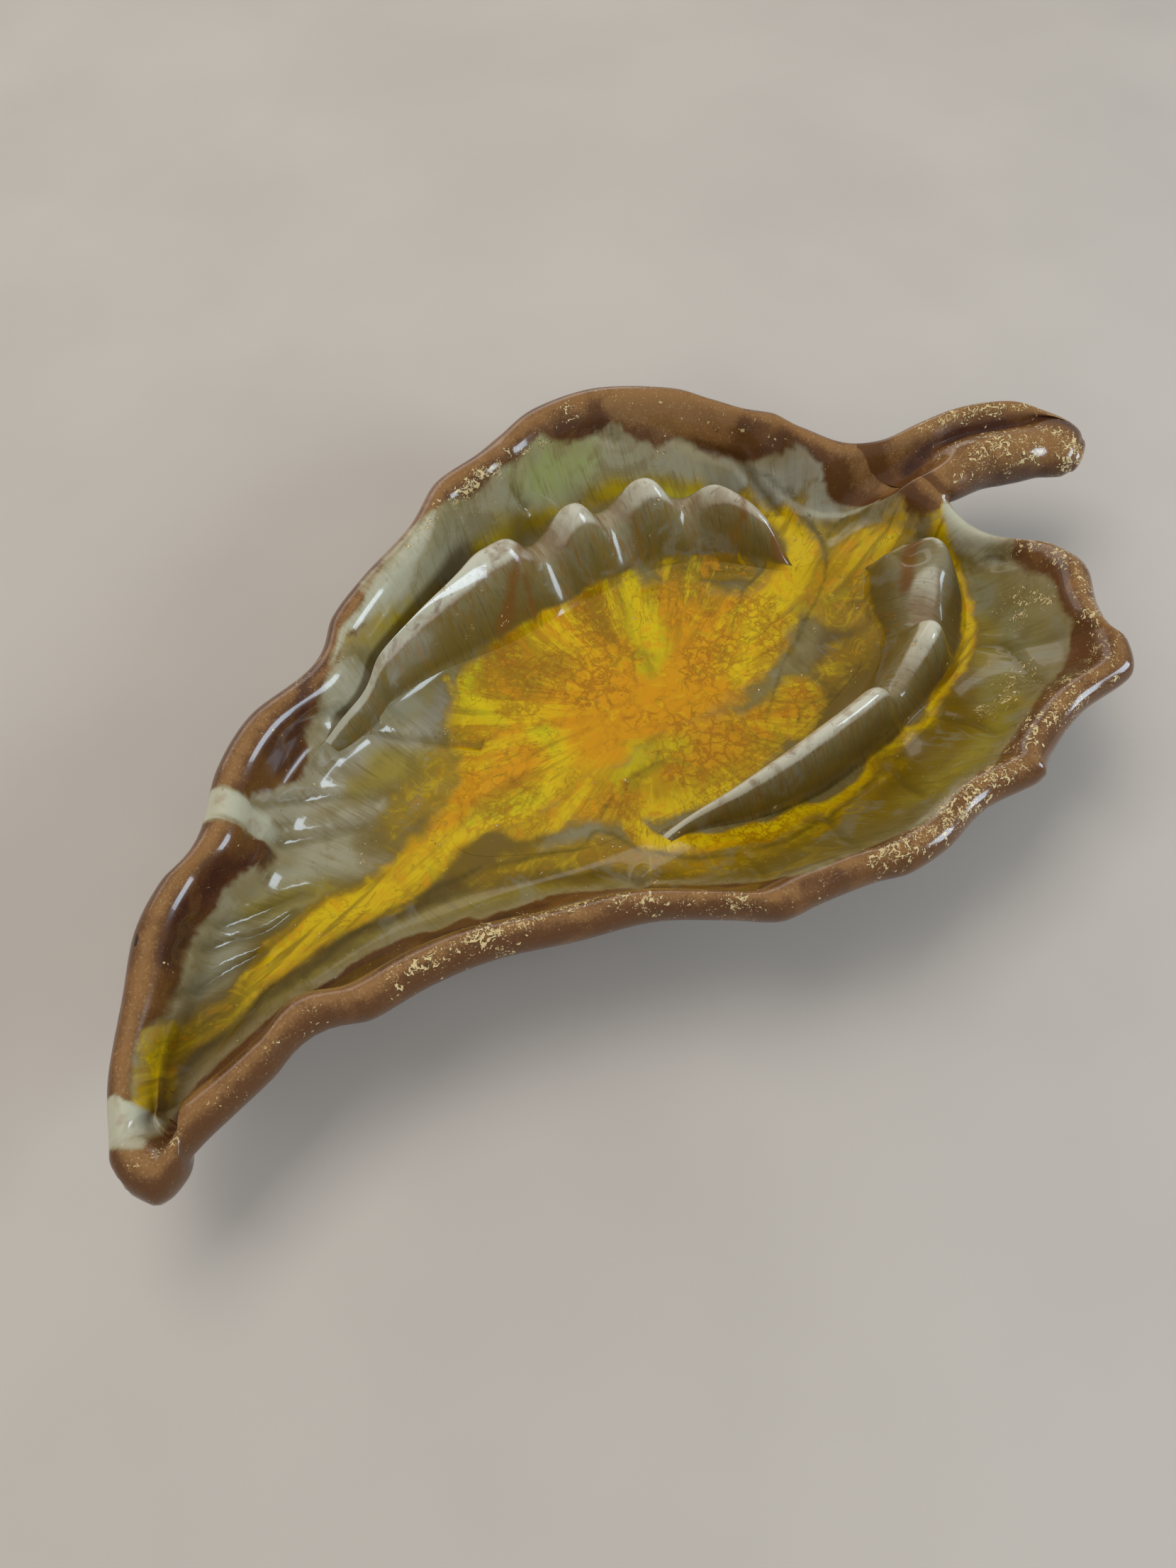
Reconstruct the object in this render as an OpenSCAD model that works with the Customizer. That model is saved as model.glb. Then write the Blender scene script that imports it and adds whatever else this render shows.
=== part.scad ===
// Pottery leaf dish with two notched rests, a twisted stem and a pool of glass glaze.
// The tip of the leaf points along -X, the stem along +X, and the dish stands on Z = 0.

/* [Leaf] */
// Length from the tip of the leaf to the end of the stem
leaf_l = 340; // [310:5:370]
// Width across the widest lobes
leaf_w = 188; // [172:2:206]
// Height of the rolled edge above the table, where it is highest
leaf_h = 50; // [46:1:58]
// Thickness of the wall
wall = 5; // [4:0.5:6]
// Diameter of the rolled edge
roll_d = 11; // [9:0.5:12]
// Depth of the veins in the wall
vein_d = 1.4; // [0.5:0.1:2]

/* [Foot] */
// Height of the foot ring
foot_h = 4; // [3:0.5:6]
// Thickness of the foot ring's wall
foot_w = 6; // [4:0.5:8]

/* [Rests] */
// Height of the left rest above the floor of the bowl
left_rest_h = 30; // [26:1:33]
// Height of the right rest above the floor of the bowl
right_rest_h = 27; // [22:1:31]
// Width of a notch, half way down
notch_w = 11; // [8:0.5:12]
// Depth of a notch
notch_d = 11; // [6:0.5:13]
// Run of a notch's side along the rest, from its bottom to the crest
notch_run = 7.5; // [6:0.5:9]
// Run of the long side of the right rest's notches
long_run = 16; // [12:0.5:19]
// Distance from one notch to the next along the left rest
notch_pitch = 25; // [22:0.5:28]
// Distance from one notch to the next along the right rest
right_pitch = 29; // [26:0.5:32]
// Distance from the right end of the left rest to its first notch
left_notch_end = 33; // [30:1:38]
// Distance from the hooked end of the right rest to its first notch
right_notch_end = 31; // [28:1:36]

/* [Stem] */
// Width of the stem over its two rolls
stem_w = 27; // [22:1:30]
// Thickness of the stem
stem_t = 17; // [13:1:20]
// Depth of the groove where it crosses the rolled edge
groove_d = 5; // [3:0.5:6]
// Width of that groove, half way down
groove_w = 7; // [5:0.5:9]

/* [Glaze pool] */
// Depth of the glass glaze where it is deepest
pool_d = 2.2; // [1.4:0.1:2.4]

/* [Hidden] */

roll_r = roll_d / 2;
floor_z = foot_h + wall;
pool_z = floor_z + pool_d;

// Outlines in plan, clockwise from the tip. Each point is an x share of half the length,
// a y share of half the width, and a height share from the floor up to the top of the edge.
edge_shares = [
    [-0.995, -0.485, 0.79], [-1.015, -0.4, 0.8], [-1.005, -0.305, 0.82], [-0.96, -0.15, 0.84],
    [-0.89, 0.005, 0.87], [-0.83, 0.14, 0.89], [-0.76, 0.23, 0.89], [-0.69, 0.275, 0.9],
    [-0.615, 0.415, 0.94], [-0.52, 0.515, 0.96], [-0.395, 0.57, 0.91], [-0.33, 0.67, 0.94],
    [-0.24, 0.74, 0.98], [-0.125, 0.83, 0.94], [-0.03, 0.935, 0.95], [0.07, 0.95, 0.98],
    [0.13, 0.985, 0.95], [0.22, 1, 1], [0.35, 0.95, 1], [0.475, 0.81, 0.95],
    [0.53, 0.695, 0.9], [0.565, 0.6, 0.88], [0.605, 0.52, 0.86], [0.62, 0.415, 0.86],
    [0.65, 0.31, 0.86], [0.69, 0.195, 0.86], [0.717, 0.08, 0.86], [0.73, -0.025, 0.8],
    [0.73, -0.11, 0.64], [0.74, -0.195, 0.61], [0.76, -0.27, 0.65], [0.79, -0.365, 0.73],
    [0.79, -0.465, 0.82], [0.77, -0.56, 0.89], [0.725, -0.66, 0.91], [0.7, -0.735, 0.95],
    [0.69, -0.82, 0.98], [0.635, -0.915, 0.98], [0.525, -0.91, 0.94], [0.43, -0.95, 0.95],
    [0.375, -0.995, 0.98], [0.275, -0.96, 0.94], [0.18, -0.985, 0.98], [0.1, -0.975, 0.98],
    [0.045, -0.93, 0.94], [-0.03, -0.895, 0.95], [-0.105, -0.865, 0.96], [-0.17, -0.765, 0.93],
    [-0.25, -0.66, 0.93], [-0.355, -0.585, 0.94], [-0.46, -0.5, 0.94], [-0.545, -0.455, 0.9],
    [-0.64, -0.44, 0.91], [-0.705, -0.385, 0.88], [-0.765, -0.415, 0.88], [-0.845, -0.44, 0.87],
    [-0.91, -0.455, 0.84], [-0.94, -0.485, 0.82], [-0.965, -0.5, 0.81], [-0.98, -0.5, 0.8]];
// Outer foot line of both rests, which is the inner side of the channels
bench_shares = [
    [-0.95, -0.395, 0.66], [-0.94, -0.25, 0.64], [-0.87, -0.07, 0.61], [-0.755, 0.12, 0.61],
    [-0.625, 0.28, 0.61], [-0.495, 0.405, 0.61], [-0.38, 0.465, 0.6], [-0.3, 0.57, 0.59],
    [-0.205, 0.635, 0.48], [-0.105, 0.695, 0.37], [0, 0.73, 0.29], [0.165, 0.73, 0.27],
    [0.295, 0.685, 0.27], [0.395, 0.57, 0.24], [0.47, 0.43, 0.21], [0.515, 0.27, 0.19],
    [0.545, 0.17, 0.22], [0.6, 0.13, 0.31], [0.65, 0.07, 0.38], [0.68, -0.015, 0.39],
    [0.69, -0.11, 0.35], [0.68, -0.22, 0.29], [0.65, -0.335, 0.23], [0.595, -0.43, 0.22],
    [0.52, -0.5, 0.22], [0.41, -0.545, 0.21], [0.295, -0.565, 0.2], [0.175, -0.56, 0.17],
    [0.07, -0.505, 0.12], [-0.045, -0.41, 0.08], [-0.205, -0.43, 0.22], [-0.38, -0.355, 0.33],
    [-0.56, -0.295, 0.4], [-0.72, -0.285, 0.48], [-0.84, -0.335, 0.54], [-0.91, -0.37, 0.61]];
// Inner foot line of both rests, which is the edge of the basin
basin_shares = [
    [-0.925, -0.355, 0.56], [-0.91, -0.205, 0.51], [-0.83, -0.035, 0.46], [-0.705, 0.1, 0.43],
    [-0.575, 0.23, 0.4], [-0.47, 0.335, 0.39], [-0.375, 0.42, 0.34], [-0.275, 0.475, 0.22],
    [-0.175, 0.5, 0.15], [-0.045, 0.485, 0.1], [0.16, 0.48, 0.07], [0.295, 0.44, 0.07],
    [0.39, 0.335, 0.07], [0.465, 0.18, 0.09], [0.525, 0.11, 0.16], [0.57, 0.025, 0.22],
    [0.56, -0.05, 0.2], [0.52, -0.12, 0.13], [0.505, -0.22, 0.1], [0.46, -0.305, 0.07],
    [0.38, -0.355, 0.07], [0.265, -0.38, 0.07], [0.145, -0.385, 0.07], [0.03, -0.37, 0.07],
    [-0.045, -0.355, 0.07], [-0.205, -0.315, 0.08], [-0.38, -0.24, 0.15], [-0.56, -0.205, 0.23],
    [-0.705, -0.225, 0.33], [-0.825, -0.27, 0.42], [-0.885, -0.31, 0.5]];
// Bottom line of the leaf, from the tip to the stem end of the basin
midrib_shares = [
    [-0.88, -0.27, 0.43], [-0.8, -0.18, 0.33], [-0.725, -0.12, 0.27], [-0.63, -0.08, 0.2],
    [-0.53, -0.06, 0.13], [-0.425, -0.045, 0.08], [-0.29, -0.025, 0.04], [-0.04, 0.015, 0],
    [0.235, 0.035, 0], [0.47, 0.035, 0.04]];
// Outer line of the foot ring, as x and y shares
foot_shares = [
    [-0.38, -0.02], [-0.29, 0.12], [-0.17, 0.26], [-0.02, 0.37], [0.15, 0.42], [0.28, 0.38],
    [0.36, 0.29], [0.42, 0.14], [0.44, -0.02], [0.41, -0.2], [0.32, -0.31], [0.16, -0.34],
    [0, -0.32], [-0.15, -0.25], [-0.29, -0.15]];

// Groove of the stem, from the bowl's wall out to the rolled edge, as x and y shares
groove_shares = [[0.57, 0.19], [0.62, 0.18], [0.655, 0.15], [0.685, 0.112], [0.715, 0.09], [0.745, 0.087]];

// The stem's path: x and y shares, height share, width share and thickness share
stem_shares = [
    [0.735, 0.073, 0.68, 1.09, 0.8], [0.782, 0.064, 0.68, 1.04, 0.94], [0.831, 0.046, 0.69, 1, 1],
    [0.877, 0.008, 0.7, 1, 1], [0.918, -0.034, 0.7, 0.96, 1], [0.95, -0.08, 0.69, 0.89, 0.97],
    [0.972, -0.133, 0.68, 0.74, 0.88], [0.984, -0.178, 0.67, 0.54, 0.7], [0.99, -0.2, 0.66, 0.3, 0.4]];
// Directions of the stem's sections at each point, as angles from the X axis
stem_turns = [-5, -9, -15, -23, -33, -44, -57, -63, -65];
// Section of the stem as shares of its half width and half thickness: two rolls with a groove
stem_section_shares = [
    [0.97, 0.35], [0.89, 0.76], [0.74, 1], [0.56, 0.96], [0.4, 0.7], [0.24, 0.36], [0.06, 0.66], [-0.16, 0.9],
    [-0.46, 1], [-0.8, 0.82], [-0.97, 0.42], [-1, 0], [-0.96, -0.42], [-0.86, -0.74], [-0.7, -0.92],
    [-0.5, -1], [-0.3, -1], [-0.1, -1], [0.1, -1], [0.3, -1], [0.5, -1], [0.7, -0.93], [0.85, -0.76],
    [0.94, -0.5], [1, -0.24], [1.01, 0.06]];

// Where the parts of the leaf begin and end, as shares of the way round its edge
tip_share = 0.022;
left_start_share = 0.19;
left_end_share = 0.428;
root_start_share = 0.473;
root_end_share = 0.513;
hook_share = 0.522;
basin_end_share = 0.6;
right_start_share = 0.775;
basin_start_share = 0.83;
// Where the veins meet the edge
vein_shares = [0.05, 0.078, 0.1, 0.13, 0.152, 0.18, 0.25, 0.3, 0.35, 0.392, 0.57, 0.605, 0.64, 0.675, 0.72,
               0.77, 0.81, 0.86, 0.9, 0.94];

// Distance between rays along the edge: in the blade, at the rests, and round the tip and the stem
blade_step = 6.5;
rest_step = 3.4;
turn_step = 3.8;

// How far the veins lean towards the tip, 1 for an even spread
vein_lean = 0.85;
// How the basin and the wall curve up
basin_bend = 2;
wall_bend = 1.6;
// Height share at which the roll has its full diameter
full_roll_share = 0.8;
roll_thinning = 1.5;
// How much the roll swells at the tip, and the share of the edge over which it does
tip_swell = 0.3;
swell_share = 0.045;
// Least shares of a ray that the seat of a rest and the wall behind it keep
wall_gap_share = 0.08;
seat_gap_share = 0.04;
// The underside is flat where the floor is less than the first of these above it,
// and follows the wall from the second
flat_gain = 0.6 * wall;
flat_blend = 2.4 * wall;

function sum(v, i = 0) = i < len(v) ? v[i] + sum(v, i + 1) : 0;
function flat(p) = [p[0], p[1]];
function lerp(a, b, t) = a + (b - a) * t;
function clamp(v, lo, hi) = min(hi, max(lo, v));
function ease(t) = let (c = clamp(t, 0, 1)) c * c * (3 - 2 * c);
function unit(v) = v / norm(v);
function spread(a, b, n) = [for (i = [0:n - 1]) lerp(a, b, i / n)];

// Place of a row of shares
function place(p) = [p[0] * leaf_l / 2, p[1] * leaf_w / 2, lerp(floor_z, leaf_h, p[2])];

// Smooth curves through points
function spline(a, b, c, d, t) =
    ((2 * b) + (c - a) * t + (2 * a - 5 * b + 4 * c - d) * t * t + (3 * b - a - 3 * c + d) * t * t * t) / 2;
function loop(p, n) = let (m = len(p))
    [for (i = [0:m - 1]) for (k = [0:n - 1])
        spline(p[(i + m - 1) % m], p[i], p[(i + 1) % m], p[(i + 2) % m], k / n)];
function strand(p, n) = let (m = len(p))
    [for (i = [0:m - 2]) for (k = [0:n - 1])
        spline(i == 0 ? 2 * p[0] - p[1] : p[i - 1], p[i], p[i + 1],
               i == m - 2 ? 2 * p[m - 1] - p[m - 2] : p[i + 2], k / n),
     p[m - 1]];

// Length along a curve up to each of its points, in plan
function runs(c) =
    [for (i = 0, s = 0; i < len(c);
          s = s + (i + 1 < len(c) ? norm(flat(c[i + 1] - c[i])) : 0), i = i + 1) s];
// Value of one coordinate along the curve, as a table to look up
function column(c, s, k) = [for (i = [0:len(c) - 1]) [s[i], c[i][k]]];

edge_loop = loop([for (p = edge_shares) place(p)], 8);
edge_closed = concat(edge_loop, [edge_loop[0]]);
edge_runs = runs(edge_closed);
edge_len = edge_runs[len(edge_runs) - 1];
edge_x = column(edge_closed, edge_runs, 0);
edge_y = column(edge_closed, edge_runs, 1);
edge_z = column(edge_closed, edge_runs, 2);
function edge_at(share) = let (s = (share < 0 ? share + 1 : share) * edge_len)
    [lookup(s, edge_x), lookup(s, edge_y), lookup(s, edge_z)];

bench_loop = loop([for (p = bench_shares) place(p)], 5);
basin_loop = loop([for (p = basin_shares) place(p)], 5);
midrib = strand([for (p = midrib_shares) place(p)], 8);
midrib_x = [for (p = midrib) p[0]];
midrib_y = [for (p = midrib) [p[0], p[1]]];
midrib_z = [for (p = midrib) [p[0], p[2]]];

// Rays from the bottom line out to the edge, counted by part
function rays_over(a, b, step) = max(2, round((b - a) * edge_len / step));
tip_rays = rays_over(-tip_share, tip_share, turn_step);
blade_rays = rays_over(tip_share, left_start_share, blade_step);
rest_rays = rays_over(left_start_share, left_end_share, rest_step);
shoulder_rays = rays_over(left_end_share, root_start_share, turn_step);
root_rays = len(stem_section_shares) / 2 - 3;
bay_rays = rays_over(root_end_share, hook_share, turn_step);
hook_rays = rays_over(hook_share, basin_end_share, turn_step);
ribs = blade_rays + rest_rays;

// Share of the edge at which each ray ends
stations = concat(
    spread(-tip_share, tip_share, tip_rays),
    spread(tip_share, left_start_share, blade_rays),
    spread(left_start_share, left_end_share, rest_rays),
    spread(left_end_share, root_start_share, shoulder_rays),
    spread(root_start_share, root_end_share, root_rays),
    spread(root_end_share, hook_share, bay_rays),
    spread(hook_share, basin_end_share, hook_rays),
    spread(basin_end_share, basin_start_share, rest_rays),
    spread(basin_start_share, 1 - tip_share, blade_rays));
rays = len(stations);
left_first = tip_rays + blade_rays;
left_last = left_first + rest_rays;
root_first = left_last + shoulder_rays;
root_last = root_first + root_rays;
right_first = root_last + bay_rays;
fan_last = right_first + hook_rays;
right_last = fan_last + round(rest_rays * (right_start_share - basin_end_share)
                              / (basin_start_share - basin_end_share));

// Point of the bottom line that a ray starts from
function rib_of(i) = i < tip_rays ? 0
    : i < left_last ? i - tip_rays
    : i < fan_last ? ribs
    : rays - i;

// Rays that a vein follows
function nearest(v) = let (gaps = [for (s = stations) abs(s - v)]) search(min(gaps), gaps)[0];
vein_rays = [for (v = vein_shares) nearest(v)];

edge_points = [for (s = stations) edge_at(s)];
rib_mean_x = [for (k = [0:ribs]) (edge_points[tip_rays + k][0] + edge_points[(rays - k) % rays][0]) / 2];
rib_starts = [for (k = [0:ribs])
    let (t = (rib_mean_x[k] - rib_mean_x[0]) / (rib_mean_x[ribs] - rib_mean_x[0]),
         x = lerp(midrib_x[0], midrib_x[len(midrib_x) - 1], pow(clamp(t, 0, 1), vein_lean)))
    [x, lookup(x, midrib_y), lookup(x, midrib_z)]];

// Share of the way from a to b at which a loop is met, and the loop's height there
function meet(a, b, c) = let (
    m = len(c), d = flat(b - a),
    hits = [for (i = [0:m - 1])
        let (p = c[i], q = c[(i + 1) % m], e = flat(q - p), w = flat(p - a),
             den = d[0] * e[1] - d[1] * e[0],
             t = (w[0] * e[1] - w[1] * e[0]) / den, s = (w[0] * d[1] - w[1] * d[0]) / den)
        if (s >= 0 && s < 1 && t > 0) [t, lerp(p[2], q[2], s)]],
    first = min([for (h = hits) h[0]]))
    [for (h = hits) if (h[0] == first) h][0];

// Depth of the stem's groove at a point in plan
groove_path = [for (p = groove_shares) [p[0] * leaf_l / 2, p[1] * leaf_w / 2]];
function off_line(p, a, b) = let (t = clamp((p - a) * (b - a) / ((b - a) * (b - a)), 0, 1)) norm(p - a - (b - a) * t);
function groove(p) = let (
    off = min([for (k = [1:len(groove_path) - 1]) off_line(flat(p), groove_path[k - 1], groove_path[k])]))
    off < groove_w ? groove_d * (1 + cos(180 * off / groove_w)) / 2 : 0;

// One ray: start, unit direction, length to the centre of the roll, radius of the roll,
// height of its centre, shares and heights of the basin's and the bench's lines, depth of its vein
function ray(i) = let (
    start = rib_starts[rib_of(i)],
    e = edge_points[i],
    along = unit(flat(edge_at(stations[(i + 1) % rays]) - edge_at(stations[(i + rays - 1) % rays]))),
    share = (e[2] - floor_z) / (leaf_h - floor_z),
    tip = 1 - ease(abs(stations[i] > 0.5 ? stations[i] - 1 : stations[i]) / swell_share),
    r = roll_r * pow(min(1, share / full_roll_share), roll_thinning) * (1 + tip_swell * tip),
    inner = [e[0] + along[1] * r, e[1] - along[0] * r],
    centre = [inner[0], inner[1], e[2] - r - groove(inner)],
    reach = norm(flat(centre - start)),
    to_bench = meet(start, centre, bench_loop),
    to_basin = meet(start, centre, basin_loop),
    bench = min(to_bench[0], 1 - r / reach - wall_gap_share),
    basin = min(to_basin[0], bench - seat_gap_share))
    [start, flat(centre - start) / reach, reach, r, centre[2], basin, to_basin[1], bench, to_bench[1],
     len(search(i, vein_rays)) > 0 ? vein_d : 0, groove(inner)];
ray_data = [for (i = [0:rays - 1]) ray(i)];

// Point of a ray's upright plane, by distance from its start and height
function in_plane(d, q) = [d[0][0] + d[1][0] * q[0], d[0][1] + d[1][1] * q[0], q[1]];

// Height of the upper surface at a share of the ray
function basin_height(d, t) = lerp(d[0][2], d[6], pow(t / d[5], basin_bend));
function wall_share(d, w) = lerp(d[7], 1 - d[3] / d[2], w);
function wall_height(d, w) = lerp(d[8], d[4] + d[10], pow(w, wall_bend)) - d[9] * sin(180 * w)
    - w * groove(in_plane(d, [wall_share(d, w) * d[2], 0]));

// Share of the ray up to which the glass glaze lies
least_pool_share = 0.14;
function pool_share(d) = let (depth = pool_z - d[0][2])
    d[5] * (depth <= 0 ? least_pool_share
        : clamp(pow(depth / (d[6] - d[0][2]), 1 / basin_bend), least_pool_share, 0.97));

seat_cells = 4;
wall_cells = 4;
roll_angles = [180, 130, 80, 30, -20, -70];

// Rows of the upper surface, each a distance and a height
function upper_rows(d) = let (
    pool = pool_share(d),
    floor_shares = [pool / 2, pool, (pool + d[5]) / 2])
    concat(
        [for (t = floor_shares) [t * d[2], basin_height(d, t)]],
        [for (k = [0:seat_cells]) [lerp(d[5], d[7], k / seat_cells) * d[2], lerp(d[6], d[8], k / seat_cells)]],
        [for (k = [1:wall_cells - 1]) let (w = k / wall_cells) [wall_share(d, w) * d[2], wall_height(d, w)]]);
function roll_rows(d) = [for (a = roll_angles) [d[2] + d[3] * cos(a), d[4] + d[3] * sin(a)]];

// The underside lies one wall below the upper surface and is flat over the foot
function flatten(z) = let (g = z - foot_h)
    foot_h + (g >= flat_blend ? g : max(0, g - flat_gain) * flat_blend / (flat_blend - flat_gain));
function below(q, slope) = let (c = 1 / sqrt(1 + slope * slope))
    [q[0] + wall * slope * c, flatten(q[1] - wall * c)];
function wall_slope(d, w) = wall_bend * (d[4] - d[8]) * pow(w, wall_bend - 1)
    / (d[2] * (1 - d[3] / d[2] - d[7]));
function lower_rows(d) = let (
    seat_slope = (d[8] - d[6]) / ((d[7] - d[5]) * d[2]),
    basin_slope = basin_bend * (d[6] - d[0][2]) / (d[5] * d[2]))
    concat(
        [for (w = [0.6, 0.2]) below([wall_share(d, w) * d[2], wall_height(d, w)], wall_slope(d, w))],
        [below([(d[5] + d[7]) / 2 * d[2], (d[6] + d[8]) / 2], seat_slope)],
        [below([d[5] * d[2], d[6]], min(seat_slope, basin_slope))],
        [for (u = [0.85, 0.45]) below([u * d[5] * d[2], basin_height(d, u * d[5])], 0)]);

ray_rows = [for (d = ray_data)
    [for (q = concat(upper_rows(d), roll_rows(d), lower_rows(d))) in_plane(d, q)]];
rows = len(ray_rows[0]);
pool_row = 1;
basin_row = 3;
bench_row = basin_row + seat_cells;
roll_row = bench_row + wall_cells;

function rib_under(k) = let (p = rib_starts[k]) [p[0], p[1], flatten(p[2] - wall)];

// Cells between neighbouring rays i and j, of one shell: quads split the same way everywhere
function quad(a, b, c, d) = [[a, d, c], [a, c, b]];
function turned(faces) = [for (f = faces) [f[0], f[2], f[1]]];

// Solids are moved so that the origin is under the middle of the whole dish
function low(v, k) = min([for (p = v) p[k]]);
function high(v, k) = max([for (p = v) p[k]]);

stem_rings = [for (k = [0:len(stem_shares) - 1]) let (
    c = place(stem_shares[k]), a = stem_turns[k], side = [-sin(a), cos(a), 0])
    [for (q = stem_section_shares) c
        + side * q[0] * stem_shares[k][3] * stem_w / 2
        + [0, 0, q[1] * stem_shares[k][4] * stem_t / 2]]];
seat_rows = [roll_row + 2, roll_row + 5];
stem_seat = [for (j = [seat_rows[0]:seat_rows[1]]) for (i = [root_first:root_last]) ray_rows[i][j]];

all_points = concat([for (r = ray_rows) each r], [for (r = stem_rings) each r]);
middle = [(low(all_points, 0) + high(all_points, 0)) / 2, (low(all_points, 1) + high(all_points, 1)) / 2];
module centred() {
    translate([-middle[0], -middle[1], 0])
        children();
}

// Shell of the leaf: bottom line, rows round it, over the roll and back under
module leaf_bowl() {
    first = ribs + 1;
    count = first + rows * rays;
    function at(j, i) = first + j * rays + (i % rays);
    function hub(i) = rib_of(i % rays);
    points = concat(
        rib_starts,
        [for (j = [0:rows - 1]) for (i = [0:rays - 1]) ray_rows[i][j]],
        [for (k = [0:ribs]) rib_under(k)]);
    inner = [for (i = [0:rays - 1]) let (a = hub(i), b = hub(i + 1))
        each a == b ? [[a, at(0, i), at(0, i + 1)]] : quad(a, b, at(0, i + 1), at(0, i))];
    outer = [for (i = [0:rays - 1]) let (a = hub(i), b = hub(i + 1), z = rows - 1)
        each a == b ? [[count + a, at(z, i + 1), at(z, i)]]
            : turned(quad(count + a, count + b, at(z, i + 1), at(z, i)))];
    skin = [for (j = [0:rows - 2]) for (i = [0:rays - 1])
        each quad(at(j, i), at(j, i + 1), at(j + 1, i + 1), at(j + 1, i))];
    color("peru")
        centred()
            polyhedron(points, concat(inner, skin, outer));
}

// Ring that the dish stands on
module foot_ring() {
    outline = loop([for (p = foot_shares) [p[0] * leaf_l / 2, p[1] * leaf_w / 2]], 4);
    color("tan")
        centred()
            linear_extrude(foot_h)
                difference() {
                    polygon(outline);
                    offset(delta = -foot_w)
                        polygon(outline);
                }
}

// Solid swept round rays, one closed section a ray, with flat ends
module swept(sections) {
    m = len(sections);
    n = len(sections[0]);
    function at(i, k) = i * n + (k % n);
    sides = [for (i = [0:m - 2]) for (k = [0:n - 1])
        each turned(quad(at(i, k), at(i + 1, k), at(i + 1, k + 1), at(i, k + 1)))];
    ends = [[for (k = [0:n - 1]) at(0, k)], [for (k = [n - 1:-1:0]) at(m - 1, k)]];
    polyhedron([for (s = sections) each s], concat(sides, ends));
}

// Depth that the notches take from a rest's top at a distance along it, with the run of each side
function notched(s, places, run_before, run_after) = notch_d * sum([for (p = places)
    1 - ease((abs(s - p) - (notch_w - notch_run) / 2) / (s < p ? run_before : run_after))]);

// Sections of a rest from one ray to another: the seat's own points, then the top
function seat_point(d, c) = [lerp(d[5], d[7], c) * d[2], lerp(d[6], d[8], c)];
function rest_runs(first, last, crest) =
    runs([for (i = [first:last]) in_plane(ray_data[i], seat_point(ray_data[i], crest))]);
function rest_section(i, top, crest, profile, lean = 0) = let (
    d = ray_data[i],
    rise = top - seat_point(d, crest + lean)[1])
    concat(
        [for (j = [basin_row:bench_row]) ray_rows[i][j]],
        [for (k = [len(profile) - 1:-1:0]) let (
            c = profile[k][0] + lean * min(profile[k][0] / crest, (1 - profile[k][0]) / (1 - crest)),
            q = seat_point(d, c))
            in_plane(d, [q[0], q[1] + rise * profile[k][1]])]);

// Across a rest: shares of its width and of its height
left_profile_shares = [[0.08, 0.2], [0.24, 0.52], [0.42, 0.86], [0.54, 0.98], [0.64, 1], [0.76, 0.88], [0.88, 0.45]];
right_profile_shares = [[0.12, 0.3], [0.26, 0.7], [0.38, 0.94], [0.48, 1], [0.58, 0.97], [0.7, 0.75], [0.86, 0.33]];
hook_profile_shares = [[0.05, 0.5], [0.14, 0.82], [0.25, 0.66], [0.4, 0.42], [0.6, 0.72], [0.77, 1], [0.9, 0.62]];
round_profile_shares = [[0.06, 0.5], [0.16, 0.84], [0.3, 0.95], [0.45, 0.97], [0.6, 1], [0.76, 0.98], [0.9, 0.6]];
left_crest_share = 0.6;
// How far the left rest's crest leans outwards along its run, as shares of its seat
left_lean_shares = [[0, 0.34], [0.15, 0.32], [0.28, 0.2], [0.42, 0.06], [0.5, 0], [0.85, 0], [1, -0.12]];
right_crest_share = 0.5;
// Height of each rest's top along its run
left_top_shares = [[0, 0.97], [0.3, 1], [0.81, 1], [0.89, 0.84], [0.94, 0.67], [0.975, 0.44], [1, 0.14]];
right_top_shares = [[0, 0.45], [0.015, 0.78], [0.035, 0.93], [0.08, 0.98], [0.2, 1], [0.64, 1],
    [0.76, 0.84], [0.85, 0.6], [0.93, 0.36], [1, 0.16]];
// Part of the right rest that turns into the hook, and part of the hook that its end closes
hook_run_share = 0.17;
end_run_share = 0.05;

module left_rest() {
    run = rest_runs(left_first, left_last, left_crest_share);
    total = run[len(run) - 1];
    places = [for (k = [0:2]) total - left_notch_end - k * notch_pitch];
    color("wheat")
        centred()
            swept([for (i = [left_first:left_last])
                let (s = run[i - left_first],
                     top = floor_z + left_rest_h * lookup(s / total, left_top_shares)
                         - notched(s, places, notch_run, notch_run))
                rest_section(i, top, left_crest_share, left_profile_shares, lookup(s / total, left_lean_shares))]);
}

module right_rest() {
    run = rest_runs(right_first, right_last, right_crest_share);
    total = run[len(run) - 1];
    places = [for (k = [0:1]) right_notch_end + k * right_pitch];
    color("linen")
        centred()
            swept([for (i = [right_first:right_last])
                let (s = run[i - right_first],
                     top = floor_z + right_rest_h * lookup(s / total, right_top_shares)
                         - notched(s, places, long_run, notch_run / 2),
                     hook = lerp(round_profile_shares, hook_profile_shares, ease(s / total / end_run_share)))
                rest_section(i, top, right_crest_share,
                             lerp(hook, right_profile_shares, ease(s / total / hook_run_share)))]);
}

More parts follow.
